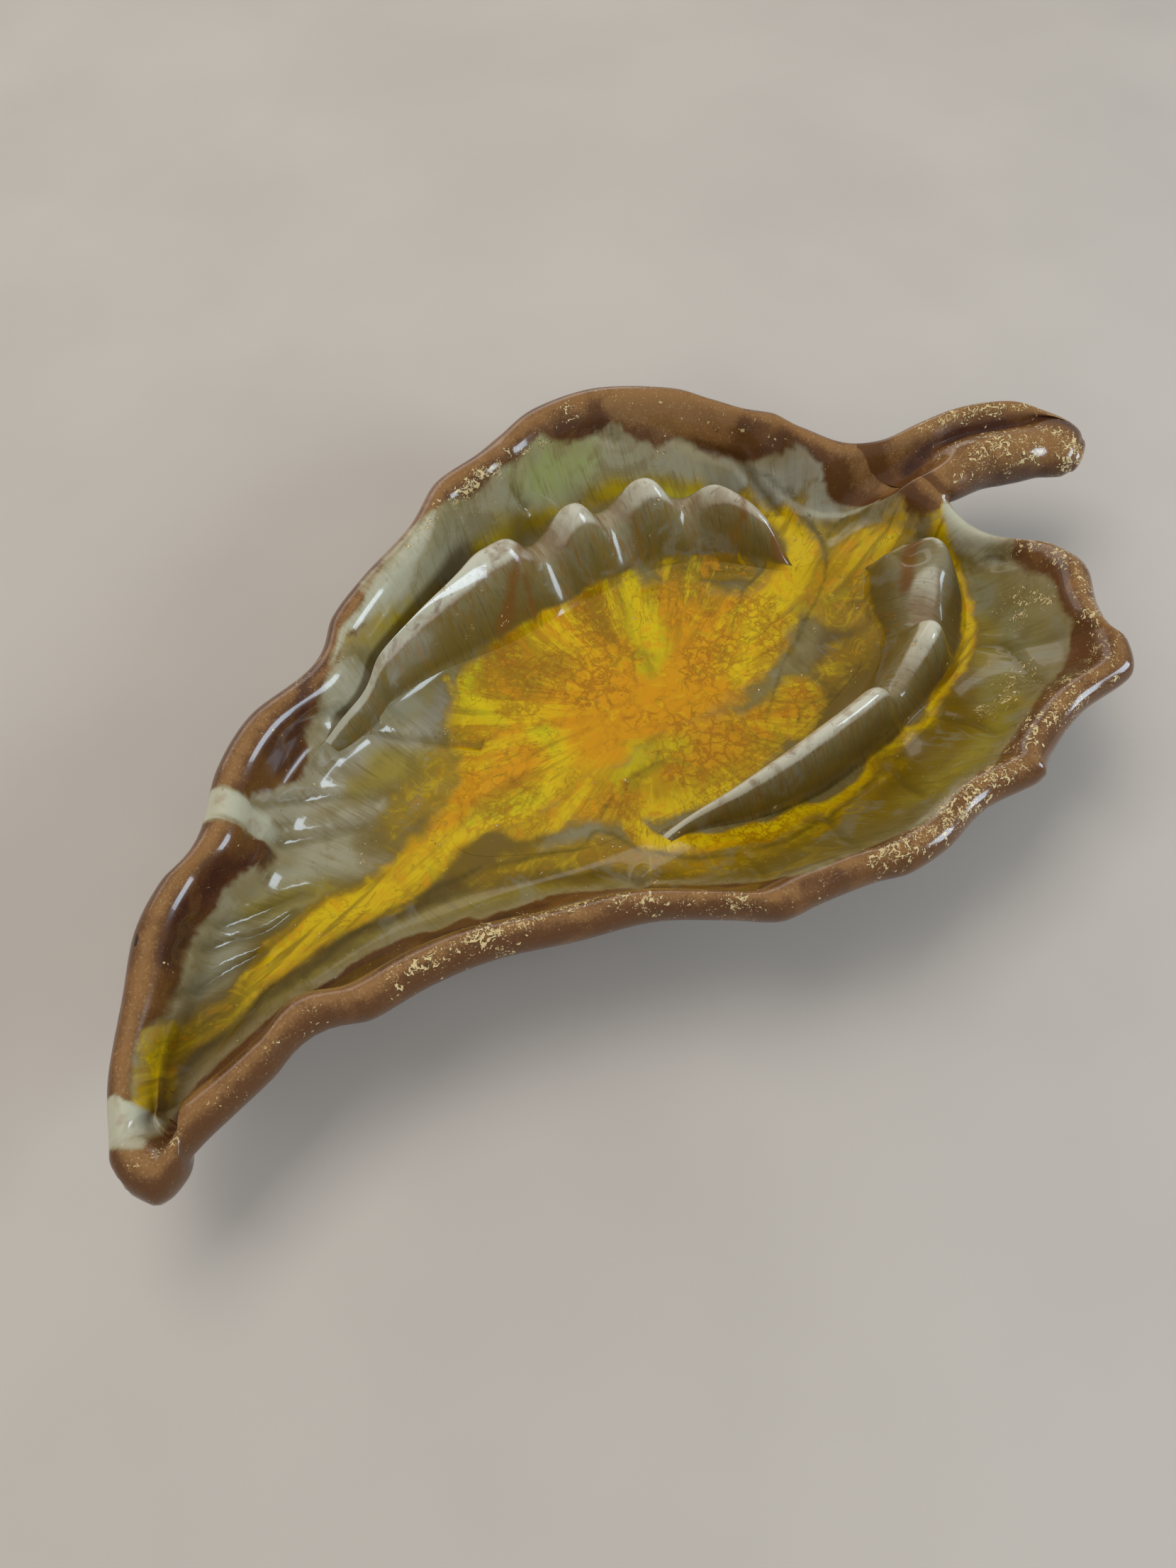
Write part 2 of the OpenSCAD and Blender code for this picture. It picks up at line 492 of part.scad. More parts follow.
// Stem of two rolls with a groove between them, seated on the outer side of the roll
module stem() {
    wide = root_rays + 1;
    deep = seat_rows[1] - seat_rows[0] + 1;
    function seat(j, i) = j * wide + i;
    rim = concat(
        [for (i = [0:wide - 1]) seat(0, i)],
        [for (j = [1:deep - 1]) seat(j, wide - 1)],
        [for (i = [wide - 2:-1:0]) seat(deep - 1, i)],
        [for (j = [deep - 2:-1:1]) seat(j, 0)]);
    n = len(rim);
    base = wide * deep;
    function at(r, k) = r == 0 ? rim[k % n] : base + (r - 1) * n + (k % n);
    last = len(stem_rings);
    root = [for (j = [0:deep - 2]) for (i = [0:wide - 2])
        each turned(quad(seat(j, i), seat(j, i + 1), seat(j + 1, i + 1), seat(j + 1, i)))];
    sides = [for (r = [0:last - 1]) for (k = [0:n - 1])
        each quad(at(r, k), at(r, k + 1), at(r + 1, k + 1), at(r + 1, k))];
    end = [[for (k = [n - 1:-1:0]) at(last, k)]];
    color("sienna")
        centred()
            polyhedron(concat(stem_seat, [for (r = stem_rings) each r]), concat(root, sides, end));
}

// Glass glaze that has run together on the floor of the basin, level on top
module glaze_pool() {
    wet = [for (i = [tip_rays:rays]) let (d = ray_data[i % rays])
        if (abs(basin_height(d, pool_share(d)) - pool_z) < 0.001 * pool_d) i];
    ribs_wet = [for (k = [0:ribs]) if (len(search(tip_rays + k, wet)) > 0 && len(search(rays - k, wet)) > 0) k];
    lowest = ribs_wet[0];
    first = tip_rays + lowest;
    last = rays - lowest;
    m = last - first + 1;
    hubs = ribs - lowest + 1;
    function hub(i) = rib_of((first + i) % rays) - lowest;
    function at(j, i) = hubs + j * m + i;
    points = concat(
        [for (k = [lowest:ribs]) rib_starts[k]],
        [for (j = [0:pool_row]) for (i = [first:last]) ray_rows[i % rays][j]]);
    middle_cells = [for (i = [0:m - 2]) let (a = hub(i), b = hub(i + 1))
        each a == b ? [[a, at(0, i + 1), at(0, i)]] : turned(quad(a, b, at(0, i + 1), at(0, i)))];
    outer_cells = [for (i = [0:m - 2])
        each turned(quad(at(0, i), at(0, i + 1), at(1, i + 1), at(1, i)))];
    top = [[for (i = [0:m - 1]) at(1, i)]];
    end = [[0, at(0, 0), at(1, 0)], [0, at(1, 0), at(1, m - 1)], [0, at(1, m - 1), at(0, m - 1)]];
    color("goldenrod")
        centred()
            polyhedron(points, concat(middle_cells, outer_cells, top, end));
}

leaf_bowl();
foot_ring();
left_rest();
right_rest();
stem();
glaze_pool();
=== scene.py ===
import math
from functools import reduce

import bpy
import numpy as np
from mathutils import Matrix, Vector


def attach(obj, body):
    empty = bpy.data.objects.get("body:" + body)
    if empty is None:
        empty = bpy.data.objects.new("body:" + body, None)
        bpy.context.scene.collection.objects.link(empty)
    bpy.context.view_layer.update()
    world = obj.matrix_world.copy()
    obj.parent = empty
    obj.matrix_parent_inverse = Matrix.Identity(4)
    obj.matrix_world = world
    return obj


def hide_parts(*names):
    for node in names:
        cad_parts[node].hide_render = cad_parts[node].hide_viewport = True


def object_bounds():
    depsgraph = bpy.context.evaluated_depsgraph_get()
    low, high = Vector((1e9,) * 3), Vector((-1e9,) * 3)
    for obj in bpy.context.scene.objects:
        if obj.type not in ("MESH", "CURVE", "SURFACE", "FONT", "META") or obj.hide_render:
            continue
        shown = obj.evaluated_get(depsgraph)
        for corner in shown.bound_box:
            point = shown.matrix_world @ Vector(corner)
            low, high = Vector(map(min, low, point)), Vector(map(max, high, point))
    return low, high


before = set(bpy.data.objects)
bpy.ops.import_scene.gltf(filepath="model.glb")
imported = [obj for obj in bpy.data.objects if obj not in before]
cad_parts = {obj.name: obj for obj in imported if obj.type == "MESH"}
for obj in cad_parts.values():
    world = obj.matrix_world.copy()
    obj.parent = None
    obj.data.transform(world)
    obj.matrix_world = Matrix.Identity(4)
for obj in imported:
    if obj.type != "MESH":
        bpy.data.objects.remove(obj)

bl_info = {
    "name": "Pottery leaf dish",
    "version": (1, 0, 0),
    "blender": (4, 5, 0),
    "location": "View3D > Sidebar > Leaf dish",
    "description": "A glazed leaf dish with two notched rests, a twisted stem and a pool of glass glaze",
    "category": "Add Mesh",
}

MM = 0.001
CAD_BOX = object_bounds()

# Outlines. Each place is an x share of half the length, a y share of half the width and a height share.
EDGE = [
    (-.995, -.485, .79), (-1.015, -.4, .8), (-1.005, -.305, .82), (-.96, -.15, .84), (-.89, .005, .87),
    (-.83, .14, .89), (-.76, .23, .89), (-.69, .275, .9), (-.615, .415, .94), (-.52, .515, .96),
    (-.395, .57, .91), (-.33, .67, .94), (-.24, .74, .98), (-.125, .83, .94), (-.03, .935, .95),
    (.07, .95, .98), (.13, .985, .95), (.22, 1, 1), (.35, .95, 1), (.475, .81, .95), (.53, .695, .9),
    (.565, .6, .88), (.605, .52, .86), (.62, .415, .86), (.65, .31, .86), (.69, .195, .86),
    (.717, .08, .86), (.73, -.025, .8), (.73, -.11, .64), (.74, -.195, .61), (.76, -.27, .65),
    (.79, -.365, .73), (.79, -.465, .82), (.77, -.56, .89), (.725, -.66, .91), (.7, -.735, .95),
    (.69, -.82, .98), (.635, -.915, .98), (.525, -.91, .94), (.43, -.95, .95), (.375, -.995, .98),
    (.275, -.96, .94), (.18, -.985, .98), (.1, -.975, .98), (.045, -.93, .94), (-.03, -.895, .95),
    (-.105, -.865, .96), (-.17, -.765, .93), (-.25, -.66, .93), (-.355, -.585, .94), (-.46, -.5, .94),
    (-.545, -.455, .9), (-.64, -.44, .91), (-.705, -.385, .88), (-.765, -.415, .88), (-.845, -.44, .87),
    (-.91, -.455, .84), (-.94, -.485, .82), (-.965, -.5, .81), (-.98, -.5, .8)]
BENCH = [
    (-.95, -.395, .66), (-.94, -.25, .64), (-.87, -.07, .61), (-.755, .12, .61), (-.625, .28, .61),
    (-.495, .405, .61), (-.38, .465, .6), (-.3, .57, .59), (-.205, .635, .48), (-.105, .695, .37),
    (0, .73, .29), (.165, .73, .27), (.295, .685, .27), (.395, .57, .24), (.47, .43, .21),
    (.515, .27, .19), (.545, .17, .22), (.6, .13, .31), (.65, .07, .38), (.68, -.015, .39),
    (.69, -.11, .35), (.68, -.22, .29), (.65, -.335, .23), (.595, -.43, .22), (.52, -.5, .22),
    (.41, -.545, .21), (.295, -.565, .2), (.175, -.56, .17), (.07, -.505, .12), (-.045, -.41, .08),
    (-.205, -.43, .22), (-.38, -.355, .33), (-.56, -.295, .4), (-.72, -.285, .48), (-.84, -.335, .54),
    (-.91, -.37, .61)]
BASIN = [
    (-.925, -.355, .56), (-.91, -.205, .51), (-.83, -.035, .46), (-.705, .1, .43), (-.575, .23, .4),
    (-.47, .335, .39), (-.375, .42, .34), (-.275, .475, .22), (-.175, .5, .15), (-.045, .485, .1),
    (.16, .48, .07), (.295, .44, .07), (.39, .335, .07), (.465, .18, .09), (.525, .11, .16),
    (.57, .025, .22), (.56, -.05, .2), (.52, -.12, .13), (.505, -.22, .1), (.46, -.305, .07),
    (.38, -.355, .07), (.265, -.38, .07), (.145, -.385, .07), (.03, -.37, .07), (-.045, -.355, .07),
    (-.205, -.315, .08), (-.38, -.24, .15), (-.56, -.205, .23), (-.705, -.225, .33), (-.825, -.27, .42),
    (-.885, -.31, .5)]
MIDRIB = [
    (-.88, -.27, .43), (-.8, -.18, .33), (-.725, -.12, .27), (-.63, -.08, .2), (-.53, -.06, .13),
    (-.425, -.045, .08), (-.29, -.025, .04), (-.04, .015, 0), (.235, .035, 0), (.47, .035, .04)]
FOOT = [
    (-.38, -.02), (-.29, .12), (-.17, .26), (-.02, .37), (.15, .42), (.28, .38), (.36, .29), (.42, .14),
    (.44, -.02), (.41, -.2), (.32, -.31), (.16, -.34), (0, -.32), (-.15, -.25), (-.29, -.15)]
GROOVE = [(.57, .19), (.62, .18), (.655, .15), (.685, .112), (.715, .09), (.745, .087)]
STEM = [
    (.735, .073, .68, 1.09, .8, -5), (.782, .064, .68, 1.04, .94, -9), (.831, .046, .69, 1, 1, -15),
    (.877, .008, .7, 1, 1, -23), (.918, -.034, .7, .96, 1, -33), (.95, -.08, .69, .89, .97, -44),
    (.97, -.127, .685, .8, .93, -54), (.982, -.168, .68, .66, .78, -60), (.988, -.19, .675, .46, .54, -62)]
STEM_SECTION = [
    (.97, .35), (.89, .76), (.74, 1), (.56, .96), (.4, .7), (.24, .36), (.06, .66), (-.16, .9),
    (-.46, 1), (-.8, .82), (-.97, .42), (-1, 0), (-.96, -.42), (-.86, -.74), (-.7, -.92), (-.5, -1),
    (-.3, -1), (-.1, -1), (.1, -1), (.3, -1), (.5, -1), (.7, -.93), (.85, -.76), (.94, -.5), (1, -.24),
    (1.01, .06)]

# Shares of the way round the edge at which the parts of the leaf begin
TIP, LEFT_START, LEFT_END, ROOT_START, ROOT_END = .022, .19, .428, .473, .513
HOOK, BASIN_END, RIGHT_START, BASIN_START = .522, .6, .775, .83

# Heights across a rest's seat, from the basin outwards, and along its crest, as shares of its height
LEFT_PROFILE = [(0, 0), (.08, .2), (.24, .52), (.42, .86), (.54, .98), (.64, 1), (.76, .88), (.88, .45),
                (1, 0)]
RIGHT_PROFILE = [(0, 0), (.12, .3), (.26, .7), (.38, .94), (.48, 1), (.58, .97), (.7, .75), (.86, .33),
                 (1, 0)]
HOOK_PROFILE = [(0, 0), (.05, .5), (.14, .82), (.25, .66), (.4, .42), (.6, .72), (.77, 1), (.9, .62), (1, 0)]
ROUND_PROFILE = [(0, 0), (.06, .5), (.16, .84), (.3, .95), (.45, .97), (.6, 1), (.76, .98), (.9, .6), (1, 0)]
LEFT_LEAN = [(0, .34), (.15, .32), (.28, .2), (.42, .06), (.5, 0), (.85, 0), (1, -.12)]
LEFT_TOP = [(0, .97), (.3, 1), (.81, 1), (.89, .84), (.94, .67), (.975, .44), (1, .14)]
RIGHT_TOP = [(0, .45), (.015, .78), (.035, .93), (.08, .98), (.2, 1), (.64, 1), (.76, .84), (.85, .6),
             (.93, .36), (1, .16)]


def length(name, about, mm):
    return bpy.props.FloatProperty(name=name, description=about, default=mm * MM, min=0, unit="LENGTH",
                                   subtype="DISTANCE", precision=4)


def colour(name, about, rgb):
    return bpy.props.FloatVectorProperty(name=name, description=about, default=rgb, size=3, min=0, max=1,
                                         subtype="COLOR")


class LeafSizes(bpy.types.PropertyGroup):
    """Sizes of the dish, as the CAD model has them"""
    leaf_length: length("Leaf length", "From the tip of the leaf to the end of the stem", 340)
    leaf_width: length("Leaf width", "Across the widest lobes", 188)
    leaf_height: length("Leaf height", "Top of the rolled edge above the table", 50)
    wall: length("Wall", "Thickness of the clay", 5)
    roll: length("Rolled edge", "Diameter of the rolled edge", 11)
    vein_depth: length("Vein depth", "Depth of the veins in the wall", 1.3)
    vein_width: length("Vein width", "Half the width of a vein", 3.2)
    foot_height: length("Foot height", "Height of the foot ring", 4)
    foot_width: length("Foot width", "Width of the foot ring", 6)
    left_rest: length("Left rest", "Height of the left rest above the floor", 30)
    right_rest: length("Right rest", "Height of the right rest above the floor", 27)
    notch_width: length("Notch width", "Width of a notch, half way down", 11)
    notch_depth: length("Notch depth", "Depth of a notch", 11)
    notch_run: length("Notch run", "Run of a notch's side along the rest", 7.5)
    long_run: length("Long run", "Run of the long side of the right rest's notches", 16)
    left_pitch: length("Left pitch", "From one notch to the next on the left rest", 25)
    right_pitch: length("Right pitch", "From one notch to the next on the right rest", 29)
    left_first: length("Left first notch", "From the right end of the left rest to its first notch", 33)
    right_first: length("Right first notch", "From the hook of the right rest to its first notch", 31)
    stem_width: length("Stem width", "Width of the stem over its two rolls", 27)
    stem_thick: length("Stem thickness", "Thickness of the stem", 17)
    groove_depth: length("Groove depth", "Depth of the stem's groove at the edge", 5)
    groove_width: length("Groove width", "Width of the stem's groove", 7)
    pool_depth: length("Pool depth", "Depth of the glass glaze where it is deepest", 2.2)


class GlazeColours(bpy.types.PropertyGroup):
    """Colours of the glazes"""
    brown: colour("Brown glaze", "Glossy brown of the rolled edge", (.11, .044, .013))
    # This tan also stands for a painted highlight along the crests of the roll and the stem
    tan: colour("Tan", "Where the brown glaze thins on a crest", (.25, .125, .042))
    # On the stem's near side and underside this colour is painted shade
    wine: colour("Wine", "Where the brown glaze lies thick in a hollow", (.045, .014, .01))
    flake: colour("Flakes", "Pale crystals in the brown glaze", (.6, .46, .22))
    olive: colour("Olive glaze", "Thin glaze on the walls", (.17, .105, .012))
    green: colour("Lime", "Streaks of lime in the bright glaze", (.36, .33, .004))
    yellow: colour("Yellow", "Bright glaze that runs in the hollows", (.62, .41, .002))
    amber: colour("Amber", "Deep glaze in the middle of the pool", (.6, .25, .001))
    shadow: colour("Dark olive", "Lines where two glazes meet", (.06, .045, .004))
    cream: colour("Cream", "Pale glaze on the crests of the rests", (.52, .49, .37))
    clay: colour("Clay", "Bare fired clay of the foot", (.46, .33, .22))
    floor: colour("Floor", "Plain pale floor", (.49, .442, .39))


def mm(value):
    return value / MM


def curve_through(points, n, closed):
    """Points along a smooth curve through the points given, n to a span."""
    p = np.asarray(points, float)
    m = len(p)
    t = (np.arange(n) / n)[:, None]
    spans = []
    for i in range(m if closed else m - 1):
        b, c = p[i], p[(i + 1) % m]
        a = p[i - 1] if closed or i else 2 * b - c
        d = p[(i + 2) % m] if closed or i < m - 2 else 2 * c - b
        spans.append((2 * b + (c - a) * t + (2 * a - 5 * b + 4 * c - d) * t ** 2
                      + (3 * b - a - 3 * c + d) * t ** 3) / 2)
    return np.vstack(spans + ([] if closed else [p[-1:]]))


def runs(points):
    """Distance along a line at each of its points."""
    steps = np.hypot(*np.diff(points[:, :2], axis=0).T)
    return np.concatenate([[0], np.cumsum(steps)])


def ease(t):
    t = np.clip(t, 0, 1)
    return t * t * (3 - 2 * t)


def lerp(a, b, t):
    return a + (b - a) * t


def table(rows, x):
    x0, y0 = zip(*rows)
    return np.interp(x, x0, y0)


def smooth_table(rows, x):
    """Value of a table at x, along a curve through its rows that doesn't overshoot them."""
    x0, y0 = (np.asarray(v, float) for v in zip(*rows))
    h, rise = np.diff(x0), np.diff(y0) / np.diff(x0)
    slope = np.zeros(len(x0))
    flat = rise[:-1] * rise[1:] <= 0
    w1, w2 = 2 * h[1:] + h[:-1], h[1:] + 2 * h[:-1]
    with np.errstate(divide="ignore", invalid="ignore"):
        slope[1:-1] = np.where(flat, 0, (w1 + w2) / (w1 / rise[:-1] + w2 / rise[1:]))
    slope[0], slope[-1] = rise[0], rise[-1]
    k = np.clip(np.searchsorted(x0, x) - 1, 0, len(h) - 1)
    t = np.clip((x - x0[k]) / h[k], 0, 1)
    return ((2 * t ** 3 - 3 * t ** 2 + 1) * y0[k] + (t ** 3 - 2 * t ** 2 + t) * h[k] * slope[k]
            + (3 * t ** 2 - 2 * t ** 3) * y0[k + 1] + (t ** 3 - t ** 2) * h[k] * slope[k + 1])


def off_line(xy, line):
    """Distance of points from a line of (x, y) or (x, y, half width), less its half width there."""
    line = [tuple(p) + (0,) * (3 - len(p)) for p in line]
    best = np.full(len(xy), 1e9)
    for a, b in zip(line[:-1], line[1:]):
        a, b = np.array(a, float), np.array(b, float)
        d = b[:2] - a[:2]
        t = np.clip(((xy - a[:2]) @ d) / max(d @ d, 1e-9), 0, 1)
        gap = xy - a[:2] - t[:, None] * d
        best = np.minimum(best, np.hypot(gap[:, 0], gap[:, 1]) - (a[2] + (b[2] - a[2]) * t))
    return best


# The net has FINE rays for each one that the CAD source has, and rows of its own
FINE = 3
BASIN_ROWS, SEAT_ROWS, WALL_ROWS = 44, 16, 20
ROLL_ANGLES = list(range(150, -98, -13))
WALL_TOP = .93
# Steps along the edge in mm, in its bends, along the blade and along the rests
BEND_STEP, BLADE_STEP, REST_STEP = 3.8, 6.5, 3.4
# The edge's direction at a place is read this far on either side of it, in mm
EDGE_PROBE = 2.5
# Least shares of a ray that the wall and a rest's seat take up
LEAST_WALL, LEAST_SEAT = .08, .04
# The wall's height grows with this power of the way up it
WALL_POWER = 1.6
# Rounds that soften the creases between the rows: the first few take in the roll as well
CREASE_ROUNDS, ROLL_ROUNDS = 14, 6


class Leaf:
    """The leaf as a net of rays and rows, in millimetres, by the same rule as the CAD source"""

    def __init__(self, size):
        self.size = size
        self.l, self.w, self.h = mm(size.leaf_length), mm(size.leaf_width), mm(size.leaf_height)
        self.wall, self.foot = mm(size.wall), mm(size.foot_height)
        self.floor = self.foot + self.wall
        self.roll = mm(size.roll) / 2
        self.edge_lines()
        self.rays()
        self.lines()
        self.net()

    def place(self, rows):
        p = np.asarray(rows, float)
        height = lerp(self.floor, self.h, p[:, 2])
        return np.column_stack([p[:, 0] * self.l / 2, p[:, 1] * self.w / 2, height])

    def edge_lines(self):
        edge = curve_through(self.place(EDGE), 16, True)
        self.edge = np.vstack([edge, edge[:1]])
        self.edge_run = runs(self.edge)
        self.total = self.edge_run[-1]
        self.bench = curve_through(self.place(BENCH), 12, True)
        self.basin = curve_through(self.place(BASIN), 12, True)
        self.midrib = curve_through(self.place(MIDRIB), 12, False)

    def edge_at(self, share):
        s = np.mod(share, 1) * self.total
        return np.column_stack([np.interp(s, self.edge_run, self.edge[:, k]) for k in range(3)])

    def rays(self):
        """Rays from the midrib out to the edge, which the two sides of the leaf share at their start."""
        def over(a, b, step):
            return max(2, round((b - a) * self.total / step))
        tip, blade = over(-TIP, TIP, BEND_STEP), over(TIP, LEFT_START, BLADE_STEP)
        rest, shoulder = over(LEFT_START, LEFT_END, REST_STEP), over(LEFT_END, ROOT_START, BEND_STEP)
        root = len(STEM_SECTION) // 2 - 3
        bay, hook = over(ROOT_END, HOOK, BEND_STEP), over(HOOK, BASIN_END, BEND_STEP)
        counts = [0, tip, blade, rest, shoulder, root, bay, hook, rest, blade]
        shares = [-TIP, TIP, LEFT_START, LEFT_END, ROOT_START, ROOT_END, HOOK, BASIN_END, BASIN_START,
                  1 - TIP]
        stops = np.cumsum(counts)
        self.ribs, self.coarse = blade + rest, int(stops[-1])
        u = np.arange(self.coarse * FINE) / FINE
        self.n = len(u)
        self.share = np.interp(u, stops, shares)
        left_last, fan_last = stops[3], stops[7]
        right_rib = np.where(u < fan_last, self.ribs, self.coarse - u)
        self.rib = np.where(u < tip, 0, np.where(u < left_last, u - tip, right_rib))
        self.left = (int(stops[2]) * FINE, int(left_last) * FINE)
        self.root = (int(stops[4]) * FINE, int(stops[5]) * FINE)
        right_last = fan_last + round(rest * (RIGHT_START - BASIN_END) / (BASIN_START - BASIN_END))
        self.right = (int(stops[6]) * FINE, int(right_last) * FINE)

        whole = np.interp(np.arange(self.coarse), stops, shares)
        ends = self.edge_at(whole)
        k = np.arange(self.ribs + 1)
        mean_x = (ends[tip + k, 0] + ends[(self.coarse - k) % self.coarse, 0]) / 2
        t = np.clip((mean_x - mean_x[0]) / (mean_x[-1] - mean_x[0]), 0, 1) ** .85
        x = np.interp(self.rib, k, lerp(self.midrib[0, 0], self.midrib[-1, 0], t))
        y, z = (np.interp(x, self.midrib[:, 0], self.midrib[:, c]) for c in (1, 2))
        self.start = np.column_stack([x, y, z])

    def meet(self, line):
        """Share of each ray at which it meets a closed line, and the line's height there."""
        p, q = line, np.roll(line, -1, 0)
        e, d = (q - p)[:, :2], (self.centre - self.start)[:, :2]
        w = p[None, :, :2] - self.start[:, None, :2]
        den = d[:, None, 0] * e[None, :, 1] - d[:, None, 1] * e[None, :, 0]
        t = (w[..., 0] * e[None, :, 1] - w[..., 1] * e[None, :, 0]) / den
        s = (w[..., 0] * d[:, None, 1] - w[..., 1] * d[:, None, 0]) / den
        t = np.where((s >= 0) & (s < 1) & (t > 0), t, np.inf)
        k = np.argmin(t, axis=1)
        i = np.arange(self.n)
        return t[i, k], lerp(p[k, 2], q[k, 2], s[i, k])

    def groove(self, xy):
        """Depth of the stem's groove in the leaf's edge."""
        path = np.array(GROOVE) * (self.l / 2, self.w / 2)
        off = off_line(xy, path)
        width, depth = mm(self.size.groove_width), mm(self.size.groove_depth)
        return np.where(off < width, depth * (1 + np.cos(np.pi * off / width)) / 2, 0)

    def lines(self):
        """The roll's centre and radius, and the rests' seat, on each ray."""
        e = self.edge_at(self.share)
        probe = EDGE_PROBE / self.total
        along = (self.edge_at(self.share + probe) - self.edge_at(self.share - probe))[:, :2]
        along /= np.hypot(*along.T)[:, None]
        height = (e[:, 2] - self.floor) / (self.h - self.floor)
        from_tip = np.abs(np.where(self.share > .5, self.share - 1, self.share))
        round_tip = 1 - ease(from_tip / .045)
        self.r = self.roll * np.minimum(1, height / .8) ** 1.5 * (1 + .3 * round_tip)
        inner = e[:, :2] + np.column_stack([along[:, 1], -along[:, 0]]) * self.r[:, None]
        ray = (self.start - e)[:, :2]
        straight = e[:, :2] + ray / np.hypot(*ray.T)[:, None] * self.r[:, None]
        at_tip = 1 - ease((from_tip - .012) / .02)
        inner = lerp(inner, straight, at_tip[:, None])
        self.cut = self.groove(inner)
        self.centre = np.column_stack([inner, e[:, 2] - self.r - self.cut])
        span = (self.centre - self.start)[:, :2]
        self.reach = np.hypot(*span.T)
        self.way = span / self.reach[:, None]
        bench, self.bench_z = self.meet(self.bench)
        basin, self.basin_z = self.meet(self.basin)
        self.bench_t = np.minimum(bench, 1 - self.r / self.reach - LEAST_WALL)
        self.basin_t = np.minimum(basin, self.bench_t - LEAST_SEAT)

    def ground(self, t):
        """Height of the basin's floor at a share of each ray."""
        return lerp(self.start[:, 2], self.basin_z, (t / self.basin_t) ** 2)

    def wall_at(self, w):
        """Share of each ray at a share of the way up the wall."""
        return lerp(self.bench_t, 1 - self.r / self.reach, w)

    def wall_height(self, w):
        d = self.wall_at(w) * self.reach
        dip = self.groove(self.start[:, :2] + self.way * d[:, None])
        return lerp(self.bench_z, self.centre[:, 2] + self.cut, w ** WALL_POWER) - w * dip

    def seat_at(self, c):
        """Place of the rests' seat: c is 0 at the basin's line and 1 at the channel's."""
        return lerp(self.basin_t, self.bench_t, c), lerp(self.basin_z, self.bench_z, c)

    def flatten(self, z):
        """Levels the underside over the foot."""
        g, low, far = z - self.foot, .6 * self.wall, 2.4 * self.wall
        return self.foot + np.where(g >= far, g, np.maximum(0, g - low) * far / (far - low))

    def under(self, d, z, slope):
        """The place one wall below a place on the upper side."""
        c = 1 / np.sqrt(1 + slope * slope)
        return d + self.wall * slope * c, self.flatten(z - self.wall * c)

    def net(self):
        """Rows from the middle over the upper side and the roll, and back along the underside."""
        rows = []

        def add(d, z):
            rows.append(np.column_stack([d, z]))
        for k in range(BASIN_ROWS):
            t = self.basin_t * k / BASIN_ROWS
            add(t * self.reach, self.ground(t))
        self.basin_row = len(rows)
        for k in range(SEAT_ROWS):
            t, z = self.seat_at(k / SEAT_ROWS)
            add(t * self.reach, z)
        self.bench_row = len(rows)
        for w in np.linspace(0, WALL_TOP, WALL_ROWS):
            add(self.wall_at(w) * self.reach, self.wall_height(w))
        self.roll_row = len(rows)
        for a in np.radians(ROLL_ANGLES):
            add(self.reach + self.r * np.cos(a), self.centre[:, 2] + self.r * np.sin(a))
        self.low_row = len(rows)
        run = (1 - self.r / self.reach - self.bench_t) * self.reach
        seat_slope = (self.bench_z - self.basin_z) / ((self.bench_t - self.basin_t) * self.reach)
        basin_slope = 2 * (self.basin_z - self.start[:, 2]) / (self.basin_t * self.reach)
        for w in (.8, .62, .44, .26, .1):
            slope = WALL_POWER * (self.centre[:, 2] - self.bench_z) * w ** .6 / run
            add(*self.under(self.wall_at(w) * self.reach, self.wall_height(w), slope))
        t, z = self.seat_at(.5)
        add(*self.under(t * self.reach, z, seat_slope))
        add(*self.under(self.basin_t * self.reach, self.basin_z, np.minimum(seat_slope, basin_slope)))
        for u in (.85, .65, .45, .25):
            add(*self.under(u * self.basin_t * self.reach, self.ground(u * self.basin_t), 0))
        add(0 * self.reach, self.flatten(self.start[:, 2] - self.wall))
        q = self.soften(np.stack(rows, axis=1))
        self.rows = q.shape[1]
        steps = np.hypot(*np.diff(q, axis=1).transpose(2, 0, 1))
        self.across = np.concatenate([np.zeros((self.n, 1)), np.cumsum(steps, axis=1)], 1)
        x, y = (self.start[:, None, c] + self.way[:, None, c] * q[..., 0] for c in (0, 1))
        self.points = np.stack([x, y, q[..., 1]], axis=-1)

    def soften(self, q):
        """Rounds the creases where the basin, the seats, the wall and the roll meet."""
        j = np.arange(q.shape[1])
        free = ((j > 1) & (j < q.shape[1] - 2)).astype(float)
        ease_in = np.where(j < self.roll_row - 3, 1, np.where(j < self.roll_row + 4, .8, .25)) * free
        for k in range(CREASE_ROUNDS):
            mid = (np.roll(q, 1, 1) + np.roll(q, -1, 1)) / 2
            weight = ease_in if k < ROLL_ROUNDS else np.where(j < self.roll_row - 3, ease_in, 0)
            q = q + (mid - q) * (.5 * weight)[None, :, None]
        return q


def in_scene(name, data):
    thing = bpy.data.objects.new(name, data)
    bpy.context.scene.collection.objects.link(thing)
    return thing


def plain_mesh(name, points, edges, faces):
    mesh = bpy.data.meshes.new(name)
    mesh.from_pydata(points, edges, faces)
    return mesh


def sleeve(at, rings, m, pole):
    """Faces between rings of m places, and from the last ring to a pole."""
    faces = [[at(r, k), at(r, k + 1), at(r + 1, k + 1), at(r + 1, k)] for r in range(rings) for k in range(m)]
    return faces + [[at(rings, k), at(rings, k + 1), pole] for k in range(m)]


